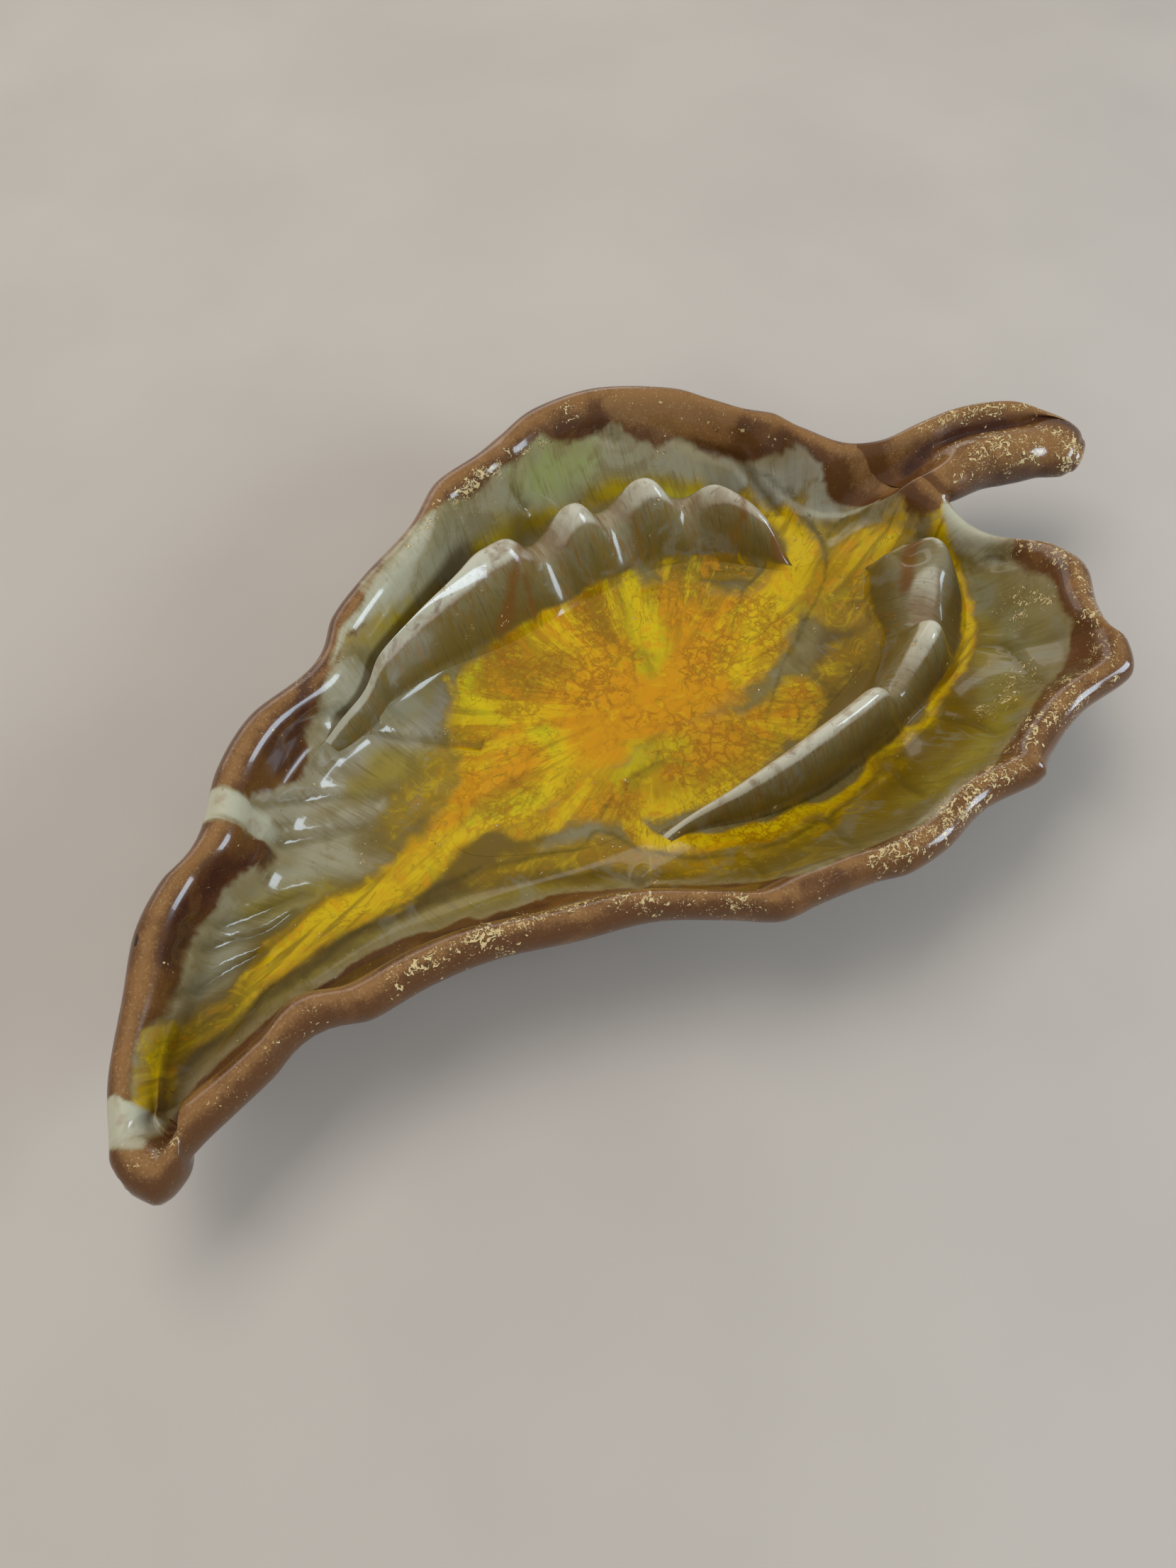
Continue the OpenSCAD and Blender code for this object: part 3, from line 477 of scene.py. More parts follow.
def mesh_object(name, points, faces, floats, vectors):
    """A smooth mesh with numbers and vectors at its vertices, from points in millimetres."""
    mesh = plain_mesh(name, (np.asarray(points) * MM).tolist(), [], faces)
    mesh.validate()
    for key, values in floats.items():
        mesh.attributes.new(key, "FLOAT", "POINT").data.foreach_set("value", np.asarray(values, np.float32))
    for key, values in vectors.items():
        mesh.attributes.new(key, "FLOAT_VECTOR", "POINT").data.foreach_set(
            "vector", np.asarray(values, np.float32).ravel())
    mesh.shade_smooth()
    return in_scene(name, mesh)


def vertex_normals(points, faces):
    normals = np.zeros_like(points)
    for size in (3, 4):
        f = np.array([x for x in faces if len(x) == size])
        if not len(f):
            continue
        first = points[f[:, 0]]
        if size == 3:
            n = np.cross(points[f[:, 1]] - first, points[f[:, 2]] - first)
        else:
            n = np.cross(points[f[:, 2]] - first, points[f[:, 3]] - points[f[:, 1]])
        for k in range(size):
            np.add.at(normals, f[:, k], n)
    return normals / np.maximum(np.linalg.norm(normals, axis=1), 1e-12)[:, None]


def bake(thing, tree, **inputs):
    """Gives the object the mesh that a node tree makes of its own."""
    modifier = thing.modifiers.new(tree.name, "NODES")
    modifier.node_group = tree
    for item in tree.interface.items_tree:
        if item.item_type == "SOCKET" and item.in_out == "INPUT" and item.name in inputs:
            modifier[item.identifier] = inputs[item.name]
    graph = bpy.context.evaluated_depsgraph_get()
    mesh = bpy.data.meshes.new_from_object(
        thing.evaluated_get(graph), preserve_all_data_layers=True, depsgraph=graph)
    thing.modifiers.remove(modifier)
    thing.data = mesh


class Nodes:
    """A node tree that is built a node at a time"""

    def __init__(self, tree):
        self.tree = tree

    def new(self, kind, given=(), **settings):
        """A node with its settings, and what is given to its inputs by name or number."""
        node = self.tree.nodes.new(kind)
        for key, value in settings.items():
            setattr(node, key, value)
        for key, value in dict(given).items():
            self.put(node.inputs[key], value)
        return node

    def put(self, socket, value):
        if isinstance(value, bpy.types.NodeSocket):
            self.tree.links.new(value, socket)
        elif value is not None:
            socket.default_value = value

    def math(self, operation, *values):
        return self.new("ShaderNodeMath", enumerate(values), operation=operation).outputs[0]

    def add(self, *values):
        return reduce(lambda a, b: self.math("ADD", a, b), values)

    def times(self, *values):
        return reduce(lambda a, b: self.math("MULTIPLY", a, b), values)

    def one_less(self, value):
        return self.math("SUBTRACT", 1.0, value)

    def step(self, value, low, high):
        """Smooth step of a value, from 0 at low to 1 at high."""
        given = enumerate((value, low, high, 0.0, 1.0))
        return self.new("ShaderNodeMapRange", given, interpolation_type="SMOOTHSTEP").outputs[0]

    def below(self, value, low, high):
        """Smooth step of a value, from 1 at low to 0 at high."""
        return self.one_less(self.step(value, low, high))

    def blend(self, factor, a, b):
        """Colour a turning into colour b."""
        colours = (value if isinstance(value, bpy.types.NodeSocket) else (*value, 1) for value in (a, b))
        given = dict(zip((0, 6, 7), (factor, *colours)))
        return self.new("ShaderNodeMix", given, data_type="RGBA", clamp_factor=True).outputs[2]

    def layers(self, colour, *layers):
        """A colour with layers over it: each is its tint, then shares that are multiplied."""
        for tint, *shares in layers:
            colour = self.blend(self.times(*shares), colour, tint)
        return colour

    def noise(self, vector, scale, detail=2.0, rough=.5, twist=0.0):
        given = {"Vector": vector, "Scale": scale, "Detail": detail, "Roughness": rough, "Distortion": twist}
        return self.new("ShaderNodeTexNoise", given, normalize=True).outputs["Fac"]

    def centred(self, noise, size):
        return self.times(self.math("SUBTRACT", noise, .5), size)

    def vector(self, operation, a, b=None, scale=None):
        node = self.new("ShaderNodeVectorMath", {0: a, 1: b, 3: scale}, operation=operation)
        return node.outputs["Value" if operation in ("LENGTH", "DOT_PRODUCT") else "Vector"]

    def xyz(self, x=0.0, y=0.0, z=0.0):
        return self.new("ShaderNodeCombineXYZ", enumerate((x, y, z))).outputs[0]

    def parts(self, vector):
        return self.new("ShaderNodeSeparateXYZ", {0: vector}).outputs

    def attribute(self, name, output="Vector"):
        return self.new("ShaderNodeAttribute", attribute_name=name).outputs[output]

    def object_place(self):
        return self.new("ShaderNodeTexCoord").outputs["Object"]

    def surface(self, given):
        shader = self.new("ShaderNodeBsdfPrincipled", given)
        self.new("ShaderNodeOutputMaterial", {0: shader.outputs[0]})

    def named(self, name):
        """A number that each vertex of the mesh carries."""
        node = self.new("GeometryNodeInputNamedAttribute", {"Name": name}, data_type="FLOAT")
        return node.outputs["Attribute"]

    def keep(self, geometry, name, value):
        node = self.new(
            "GeometryNodeStoreNamedAttribute", {"Geometry": geometry, "Name": name, "Value": value},
            data_type="FLOAT", domain="POINT")
        return node.outputs[0]


def node_group(name, **inputs):
    """The nodes of a new geometry group, and the group's inputs."""
    tree = bpy.data.node_groups.new(name, "GeometryNodeTree")
    for key, kind in {"Geometry": "Geometry", **inputs, "Material": "Material"}.items():
        tree.interface.new_socket(key, in_out="INPUT", socket_type="NodeSocket" + kind)
    tree.interface.new_socket("Geometry", in_out="OUTPUT", socket_type="NodeSocketGeometry")
    g = Nodes(tree)
    return g, g.new("NodeGroupInput").outputs


def finished(g, geometry, material):
    """The group's tree, once its geometry has its material and goes out."""
    real = g.new("GeometryNodeRealizeInstances", {0: geometry})
    paint = g.new("GeometryNodeSetMaterial", {"Geometry": real.outputs[0], "Material": material})
    g.new("NodeGroupOutput", {0: paint.outputs[0]})
    return g.tree


def new_material(name):
    material = bpy.data.materials.new(name)
    material.use_nodes = True
    material.node_tree.nodes.clear()
    return material, Nodes(material.node_tree)


# Where the glazes lie: places in the plan of a leaf of this length and width, in millimetres from under
# the middle of the dish. A third number is half the width of the stroke there.
PLAN_LENGTH, PLAN_WIDTH = 340, 188
# Depth of a place within the brown glaze, in mm, where all is brown and where nothing is
ALL_BROWN, NO_BROWN = 15, -6
# The line at which the brown glaze of the edge ends
BROWN_EDGE = [
    (-164, -35), (-160, -34), (-157, -29.5), (-150, -24.5), (-145, -23), (-140, -21.5), (-135, -20.5),
    (-130, -19), (-125, -18), (-120, -17.5), (-115, -18.5), (-110, -18.5), (-105, -17.5), (-100, -17.5),
    (-95, -17.8), (-90, -18.5), (-85, -20), (-80, -23.5), (-75, -24), (-72, -25), (-70, -28.5), (-65, -29),
    (-60, -30.5), (-55, -31.5), (-50, -33), (-45, -36.5), (-40, -40), (-35, -43.5), (-30, -46.5), (-26, -50),
    (-22, -55), (-18, -61), (-14, -67), (-11, -72), (-8, -75.5), (-5, -77), (0, -79), (5, -79.5),
    (10, -80.5), (15, -81.5), (20, -83), (25, -85), (30, -86), (35, -85), (40, -83.5), (45, -83),
    (50, -83), (55, -83.5), (60, -82), (65, -80.5), (70, -79.5), (75, -78), (80, -76), (85, -74.5),
    (90, -73), (95, -72), (100, -71), (105, -68.5), (108, -66), (110, -64), (111, -60), (113, -57),
    (115, -54), (118, -50), (120, -46), (121, -42), (122, -38), (123.5, -33), (126, -29), (128, -22),
    (128, -12), (121, -10), (117, -8), (113.5, -5), (111.5, -1), (110.5, 4), (109, 8), (107, 12),
    (104, 16), (101, 20), (99, 24), (98, 28), (97, 33), (95, 38), (92, 41.5), (88, 44), (85, 47), (83, 50),
    (80, 54), (77, 58), (75, 61.5), (73, 64), (70, 65.5), (66, 67.5), (63, 70), (60, 73), (58, 76),
    (55, 77.5), (50, 78), (45, 79), (40, 80.5), (35, 82.5), (32, 83.5), (28, 83), (24, 82), (20, 81),
    (15, 79.5), (10, 79), (5, 78.5), (0, 78.5), (-5, 78), (-10, 77.5), (-15, 76.5), (-20, 75),
    (-26, 72), (-32, 69), (-38, 65), (-43, 61), (-47, 57), (-50, 55), (-55, 53.5), (-58, 52), (-62, 48),
    (-65, 46.5), (-70, 42.5), (-75, 40), (-80, 38), (-83, 34), (-87, 31), (-92, 30), (-97, 29.5),
    (-101, 28), (-104, 24), (-105, 20), (-103, 17.5), (-107, 15), (-110, 14), (-115, 13), (-120, 12),
    (-125, 9), (-130, 6), (-135, 2), (-138, -1), (-141, -4), (-144, -7), (-147, -10), (-152, -12),
    (-155, -15), (-158, -19), (-161, -23), (-163, -29)]
# Strokes of each kind of glaze: amount, softness, line
STROKES = {
    "pale": [
        (1, 1.5, [(-172, -24, 4), (-167, -27, 5.5), (-163, -31, 3)]),
        (.8, 1.5, [(-170, -31, 2), (-165, -35, 1.5)]),
        (1, 1.6, [(-116, 31, 4), (-110, 28, 5), (-104, 23, 4)]),
        (.75, 1.4, [(-64, 48, 1), (-56, 54, 1.5), (-47, 57, 2), (-38, 61, 3), (-28, 66, 3),
            (-18, 72, 2.5), (-12, 76, 1)]),
        (.5, 1.6, [(-42, 63, 4), (-30, 69, 4), (-20, 74, 3)]),
        (.9, 1.6, [(119, -9, 2.2), (119, -15, 3), (122, -22, 3), (124, -27, 1.5)]),
        (.55, 2, [(121, -24, 2.5), (122, -34, 1.5), (121, -42, 1)]),
        (.7, .7, [(89, 34, .5), (93, 25, .9), (98, 18.5, 1), (104, 12.5, 1), (109, 8.5, .6)]),
        (.5, .8, [(94, 12, 1.2), (101, 10.5, 1.6), (107, 6.5, 1.6), (110.5, 1.5, 1)]),
        (.55, 1, [(25, -83.5, 1), (33, -84.5, 1.2), (42, -82.5, 1)]),
        (.6, 1.6, [(-73, 39, 1.5), (-66, 43, 3), (-58, 47, 2.5)])],
    "dark": [
        (.9, 1.8, [(-155, -23, .6), (-146, -18, 1), (-136, -14.5, 1.5), (-124, -13, 1.6),
            (-112, -12, 1.6), (-98, -9, 1.3), (-84, -9, 1.2), (-70, -11, 1.2), (-60, -12, 1)]),
        (.6, 3, [(-112, -13, 2), (-95, -12.5, 3), (-80, -13, 3), (-66, -16, 3), (-54, -21, 3),
            (-44, -27, 3)]),
        (.8, 1.4, [(-58, -14, .8), (-48, -17, 1.4), (-40, -20, 1), (-33, -24, .8), (-27, -22, .8),
            (-23.5, -26, .9), (-22, -32, .9), (-20, -37, 1), (-16, -43, 1.1), (-10, -50, 1.2),
            (-3, -55.5, 1.2), (8, -59.5, 1.3), (22, -61, 1.2), (36, -60.5, 1), (55, -58.5, .9),
            (75, -56, .7)]),
        (.6, 1.4, [(-24, -19, .8), (-17, -16, 1), (-8, -15, 1.2), (0, -14, .8), (6, -10, .8)]),
        (.9, 1, [(-9, -34, .3), (0, -41, .5), (10, -47, .8), (20, -51, 1), (32, -52.6, 1), (47, -53, 1),
            (62, -51.5, .8), (76, -48.5, .6), (90, -43.5, .6), (100, -39, .5), (108, -32, .5),
            (113, -26, .4), (115, -18, .3)]),
        (.8, .9, [(82, 13, .4), (76, 20, .5), (70, 19.5, .6), (62, 17, .6), (54, 12, .5), (47, 6, .4),
            (40, 1, .3)]),
        (.8, 1.3, [(86, 46, .5), (90, 36, .8), (92.5, 26, 1), (93, 16, 1), (89, 8, .9), (81, 2.5, .8),
            (72, -2, .8), (62, -7, .8), (52, -12, .8), (44, -17, .6), (36, -24, .5)]),
        (.7, .8, [(106, 12, .6), (100, 14, .8), (95, 14, 1)]),
        (.7, 1, [(112, 1, .6), (106, 4, .8), (97, 6, .9)]),
        (.7, 1.2, [(117, -28, .5), (119, -20, .7), (117, -11, .7), (114, -3, .7)]),
        (.55, .9, [(-32, 47, .5), (-26, 41, .8), (-21, 36, .8), (-16, 31, .6), (-10, 29, .5),
            (-6, 22, .5), (-3, 16, .5)]),
        (.55, .9, [(-63, 39, .5), (-53, 35, .6), (-44, 30, .7), (-38, 25, .8), (-35, 22, .5)]),
        (.5, .8, [(0, 41, .5), (5, 35, .7), (10, 31, .7), (14, 25, .5)]),
        (.5, .9, [(19, 46, .8), (17, 37, .9), (14, 30, .7)]),
        (.5, .9, [(-62, 20, .5), (-57, 14, .8), (-51, 10, .5)]),
        (.6, 1.6, [(20, 20, 1.2), (17, 15, 1), (14, 12, 1.5)]),
        (.45, 1, [(-90, 16, .4), (-78, 13, .6), (-66, 15, .5), (-54, 18, .5)]),
        (.5, .8, [(42, 44, .6), (40, 34, .8), (38, 25, .6), (34, 17, .4)]),
        (.5, .7, [(58, 40, .6), (54, 30, .5), (48, 22, .4)]),
        (.6, 1, [(60, -30, 1), (50, -27, .8), (42, -30, .6)]),
        (.7, .8, [(-1, -14, .5), (2, -15, .8)]),
        (.8, .6, [(70, -2.5, .7), (72, -2.5, .7)]),
        (.7, .7, [(-36, 21, .8), (-33, 22, .8)]),
        (.2, 1.4, [(96, 36, .6), (99, 24, .6), (102, 17, .6)]),
        (.15, 1.8, [(-52, 51.5, 1), (-38, 55, 1), (-20, 60, 1), (0, 69, 1), (30, 70.5, 1)]),
        (.4, 2, [(30, -62, 2), (50, -64, 3), (66, -62, 3), (80, -60, 2)]),
        (.4, 2.5, [(-36, -36, 4), (-28, -40, 4)])],
    "flake": [
        (.68, 4, [(-100, -39, 3), (-86, -41, 3), (-70, -45, 4), (-58, -46, 4), (-50, -51, 3)]),
        (.4, 3, [(-76, -30, 3), (-70, -36, 4), (-62, -36, 4)]),
        (.55, 3, [(-48, -54, 3), (-32, -65, 3), (-20, -75, 3)]),
        (.35, 2.5, [(-14, -80, 1.5), (-6, -83, 1.5)]),
        (.7, 3, [(12, -84, 3), (25, -88, 4), (40, -87, 4), (58, -86, 4)]),
        (.55, 4, [(64, -84, 4), (80, -81, 5), (95, -79, 6), (108, -76, 6)]),
        (.5, 4, [(78, -66, 4), (90, -65, 5), (100, -60, 4)]),
        (.6, 3.5, [(114, -68, 4), (123, -54, 4), (128, -42, 4), (127, -32, 3)]),
        (.5, 3, [(112, -50, 4), (116, -44, 3)]),
        (.8, 2, [(-10, 78.5, 1.5), (0, 79.5, 2), (14, 80, 1.5)]),
        (.5, 2, [(18, 83, 2), (32, 82.5, 1.5)]),
        (.6, 2.5, [(-14, 74, 1.5), (-22, 70, 2)]),
        (.3, 2, [(36, 86, 2), (60, 80, 2), (80, 62, 2), (95, 40, 2)]),
        (.7, 2, [(-168, -38, 2), (-163, -39, 2), (-156, -39, 1.5)]),
        (.5, 2.5, [(-74, 50, 3), (-66, 52, 2)]),
        (.35, 3, [(-150, -39, 2), (-134, -35, 2), (-118, -33, 2)])],
    "speck": [
        (1, 2, [(-163, -16, 2), (-155, -5, 2.5), (-147, 3, 2.5), (-138, 11, 1.5)]),
        (.4, 2, [(-130, 21, 1.2), (-120, 25, 1)])],
    # Tan where the brown glaze thins on the crests of the roll, with a painted highlight along them; the
    # stroke from (56, 81) to (86, 56) is a painted highlight on the far rim
    "tan": [
        (.75, 3, [(-150, -33, 3), (-138, -28, 3.5), (-124, -25, 3), (-108, -33, 4), (-96, -28, 4),
            (-88, -30, 4)]),
        (.55, 4, [(-54, -42, 4), (-42, -52, 3), (-30, -58, 3), (-20, -67, 3)]),
        (.6, 3, [(30, 88, 3), (48, 85, 3)]),
        (1, 3, [(56, 81, 2), (66, 75, 4), (76, 67, 4), (86, 56, 3)]),
        (.7, 3, [(-30, 72, 3), (-16, 80, 3), (0, 84, 3)]),
        (.5, 4, [(62, -84, 2), (84, -78, 3)]),
        (.4, 3, [(-80, 46, 3), (-95, 39, 2)])],
    "wine": [
        (.9, 3, [(-84, -25, 2.5), (-76, -30, 4), (-68, -33, 4), (-56, -35, 3)]),
        (.7, 3, [(-120, -21, 3), (-104, -22, 4), (-92, -22, 3)]),
        (.8, 2.5, [(-60, 50, 1), (-70, 47, 2), (-80, 41, 2.5), (-90, 34, 3.5)]),
        (.8, 2.5, [(-104, 18, 2), (-118, 14, 2), (-130, 9, 2.5), (-140, 0, 2.5)]),
        (.7, 2, [(38, 82.5, 1.5), (46, 80.5, 2), (54, 79, 1.5)]),
        (.5, 1.6, [(60, 74, 1), (68, 68, 1), (76, 60, 1.4), (84, 50, 1.4), (92, 42, 1.2)]),
        (.5, 2, [(96, 34, 1.2), (99, 25, 1.2)]),
        (.7, 2.5, [(2, -82, 2), (-8, -79, 2)]),
        (.6, 2.5, [(66, -84, 2), (74, -86, 3)]),
        (.5, 3, [(30, -88, 3), (44, -86, 2)]),
        (.6, 2, [(-46, -41, 1), (-30, -50, 2), (-18, -64, 1.5)])],
}
# Soft washes of colour under all the rest: colour, amount, softness, line
YELLOW, LIME, ORANGE, GOLD = (.62, .42, .001), (.46, .38, .001), (.57, .255, .001), (.44, .26, .001)
OLIVE, DUSK, MUD = (.15, .085, .001), (.085, .045, .001), (.115, .07, .018)
MILK, SMOKE, LEAF = (.32, .29, .18), (.21, .165, .06), (.27, .2, .02)
TAN, FAWN, THIN_BASE = (.17, .115, .025), (.34, .3, .2), (.19, .14, .045)
THIN = [
    # the walls, from the tip round by the left
    (SMOKE, 1, 8, [(-110, 10, 30), (0, 10, 80), (60, 0, 80)]),
    (OLIVE, .9, 5, [(-160, -28, 2), (-140, -14, 4), (-110, -6, 8), (-80, -4, 10), (-50, -8, 16)]),
    (MILK, .9, 3, [(-143, -8, 1), (-132, 0, 3), (-120, 6, 5), (-105, 8, 5)]),
    (LEAF, .8, 3, [(-118, 6, 3), (-107, 6, 4), (-98, 5, 3)]),
    (FAWN, .9, 4, [(-104, 22, 3), (-90, 28, 6), (-70, 32, 6), (-50, 33, 4)]),
    (FAWN, .8, 3, [(-98, 15, 3), (-86, 17, 4), (-74, 18, 3)]),
    (MILK, .9, 3, [(-104, 12, 2), (-92, 11, 3), (-80, 5, 2)]),
    (TAN, .7, 3, [(-86, 9, 2), (-76, 10, 4), (-64, 12, 4)]),
    (LEAF, .8, 3, [(-76, 24, 2), (-64, 25, 5), (-54, 24, 5), (-46, 17, 3)]),
    (OLIVE, .6, 2, [(-70, 20, 1), (-58, 14, 2), (-50, 12, 1)]),
    ((.22, .2, .15), .8, 3, [(-50, 33, 2), (-40, 37, 4), (-32, 42, 2)]),
    (MILK, .7, 3, [(-76, 40, 2), (-60, 41, 3), (-46, 42, 2)]),
    # below the valley
    (LEAF, .8, 3, [(-128, -15, 1.5), (-105, -14, 2), (-85, -14.5, 2), (-68, -18, 3), (-50, -27, 4),
        (-32, -40, 4)]),
    (DUSK, .85, 3, [(-152, -21, 1), (-134, -14.5, 2.2), (-112, -11, 2.4), (-90, -9, 2.4), (-70, -11, 3),
        (-54, -16, 3)]),
    (OLIVE, .9, 4, [(-60, -16, 4), (-44, -24, 6), (-30, -36, 7), (-20, -48, 6), (-8, -58, 6)]),
    (DUSK, .6, 2.5, [(-56, -20, 1), (-42, -30, 2), (-30, -40, 2), (-20, -50, 2)]),
    ((.26, .17, .01), .7, 3, [(-40, -17, 2), (-30, -26, 3), (-24, -38, 3), (-14, -48, 3), (0, -56, 2)]),
    # round the rests
    ((.1, .06, .03), .85, 4, [(44, 36, 2), (54, 34, 5), (62, 29, 5), (67, 23, 3)]),
    ((.33, .21, .002), .95, 4, [(76, 18, 3), (88, 6, 8), (96, 8, 6), (96, 22, 2)]),
    (OLIVE, .95, 5, [(44, -34, 4), (60, -28, 8), (74, -26, 10), (88, -20, 8), (96, -10, 6)]),
    (MUD, .85, 3, [(66, -18, 2), (76, -14, 5), (88, -13, 5), (96, -14, 3)]),
    ((.2, .13, .04), .7, 3, [(60, -34, 2), (76, -35, 3), (88, -29, 2)]),
    # the wall behind the left rest
    (MILK, .9, 3, [(-52, 53, 2), (-36, 60, 3), (-20, 68, 3), (0, 75, 3), (30, 78, 4), (52, 74, 4),
        (68, 64, 4), (80, 52, 4), (88, 42, 3), (94, 30, 3), (99, 20, 3)]),
    ((.29, .31, .1), .9, 3, [(18, 79, 2), (32, 79, 4), (46, 77, 3)]),
    ((.34, .33, .26), .95, 2.5, [(84, 47, 2), (92, 36, 3.5), (96, 26, 3), (101, 16, 2)]),
    ((.36, .25, .003), .95, 2, [(-56, 51, .6), (-40, 56, 1.4), (-22, 62, 1.6), (-8, 69, 1.6),
        (6, 72, 1.6), (30, 72, 1.6), (48, 69, 2.4), (60, 62, 3), (72, 53, 3)]),
    (LIME, .7, 1.5, [(60, 60, 1), (66, 55, 2), (72, 50, 1.5)]),
    # the wall beyond the right rest
    ((.19, .12, .005), .95, 5, [(-16, -58, 3), (0, -66, 6), (30, -68, 9), (60, -66, 9), (90, -56, 9),
        (108, -42, 6)]),
    (TAN, .7, 4, [(-16, -56, 3), (-4, -66, 4), (8, -72, 4), (24, -74, 3)]),
    (OLIVE, .8, 4, [(20, -62, 3), (44, -64, 4), (70, -60, 4), (88, -54, 3)]),
    ((.26, .2, .02), .9, 3, [(38, -76, 3), (56, -78, 4), (72, -73, 4), (84, -68, 3)]),
    ((.24, .2, .06), .8, 4, [(84, -64, 4), (98, -58, 5), (108, -48, 5), (114, -36, 4), (118, -26, 3)]),
    ((.17, .15, .07), .7, 3, [(104, -56, 2), (112, -44, 3), (116, -32, 3)]),
    (LEAF, .6, 2.5, [(94, -52, 2), (102, -46, 3), (108, -38, 2)]),
]
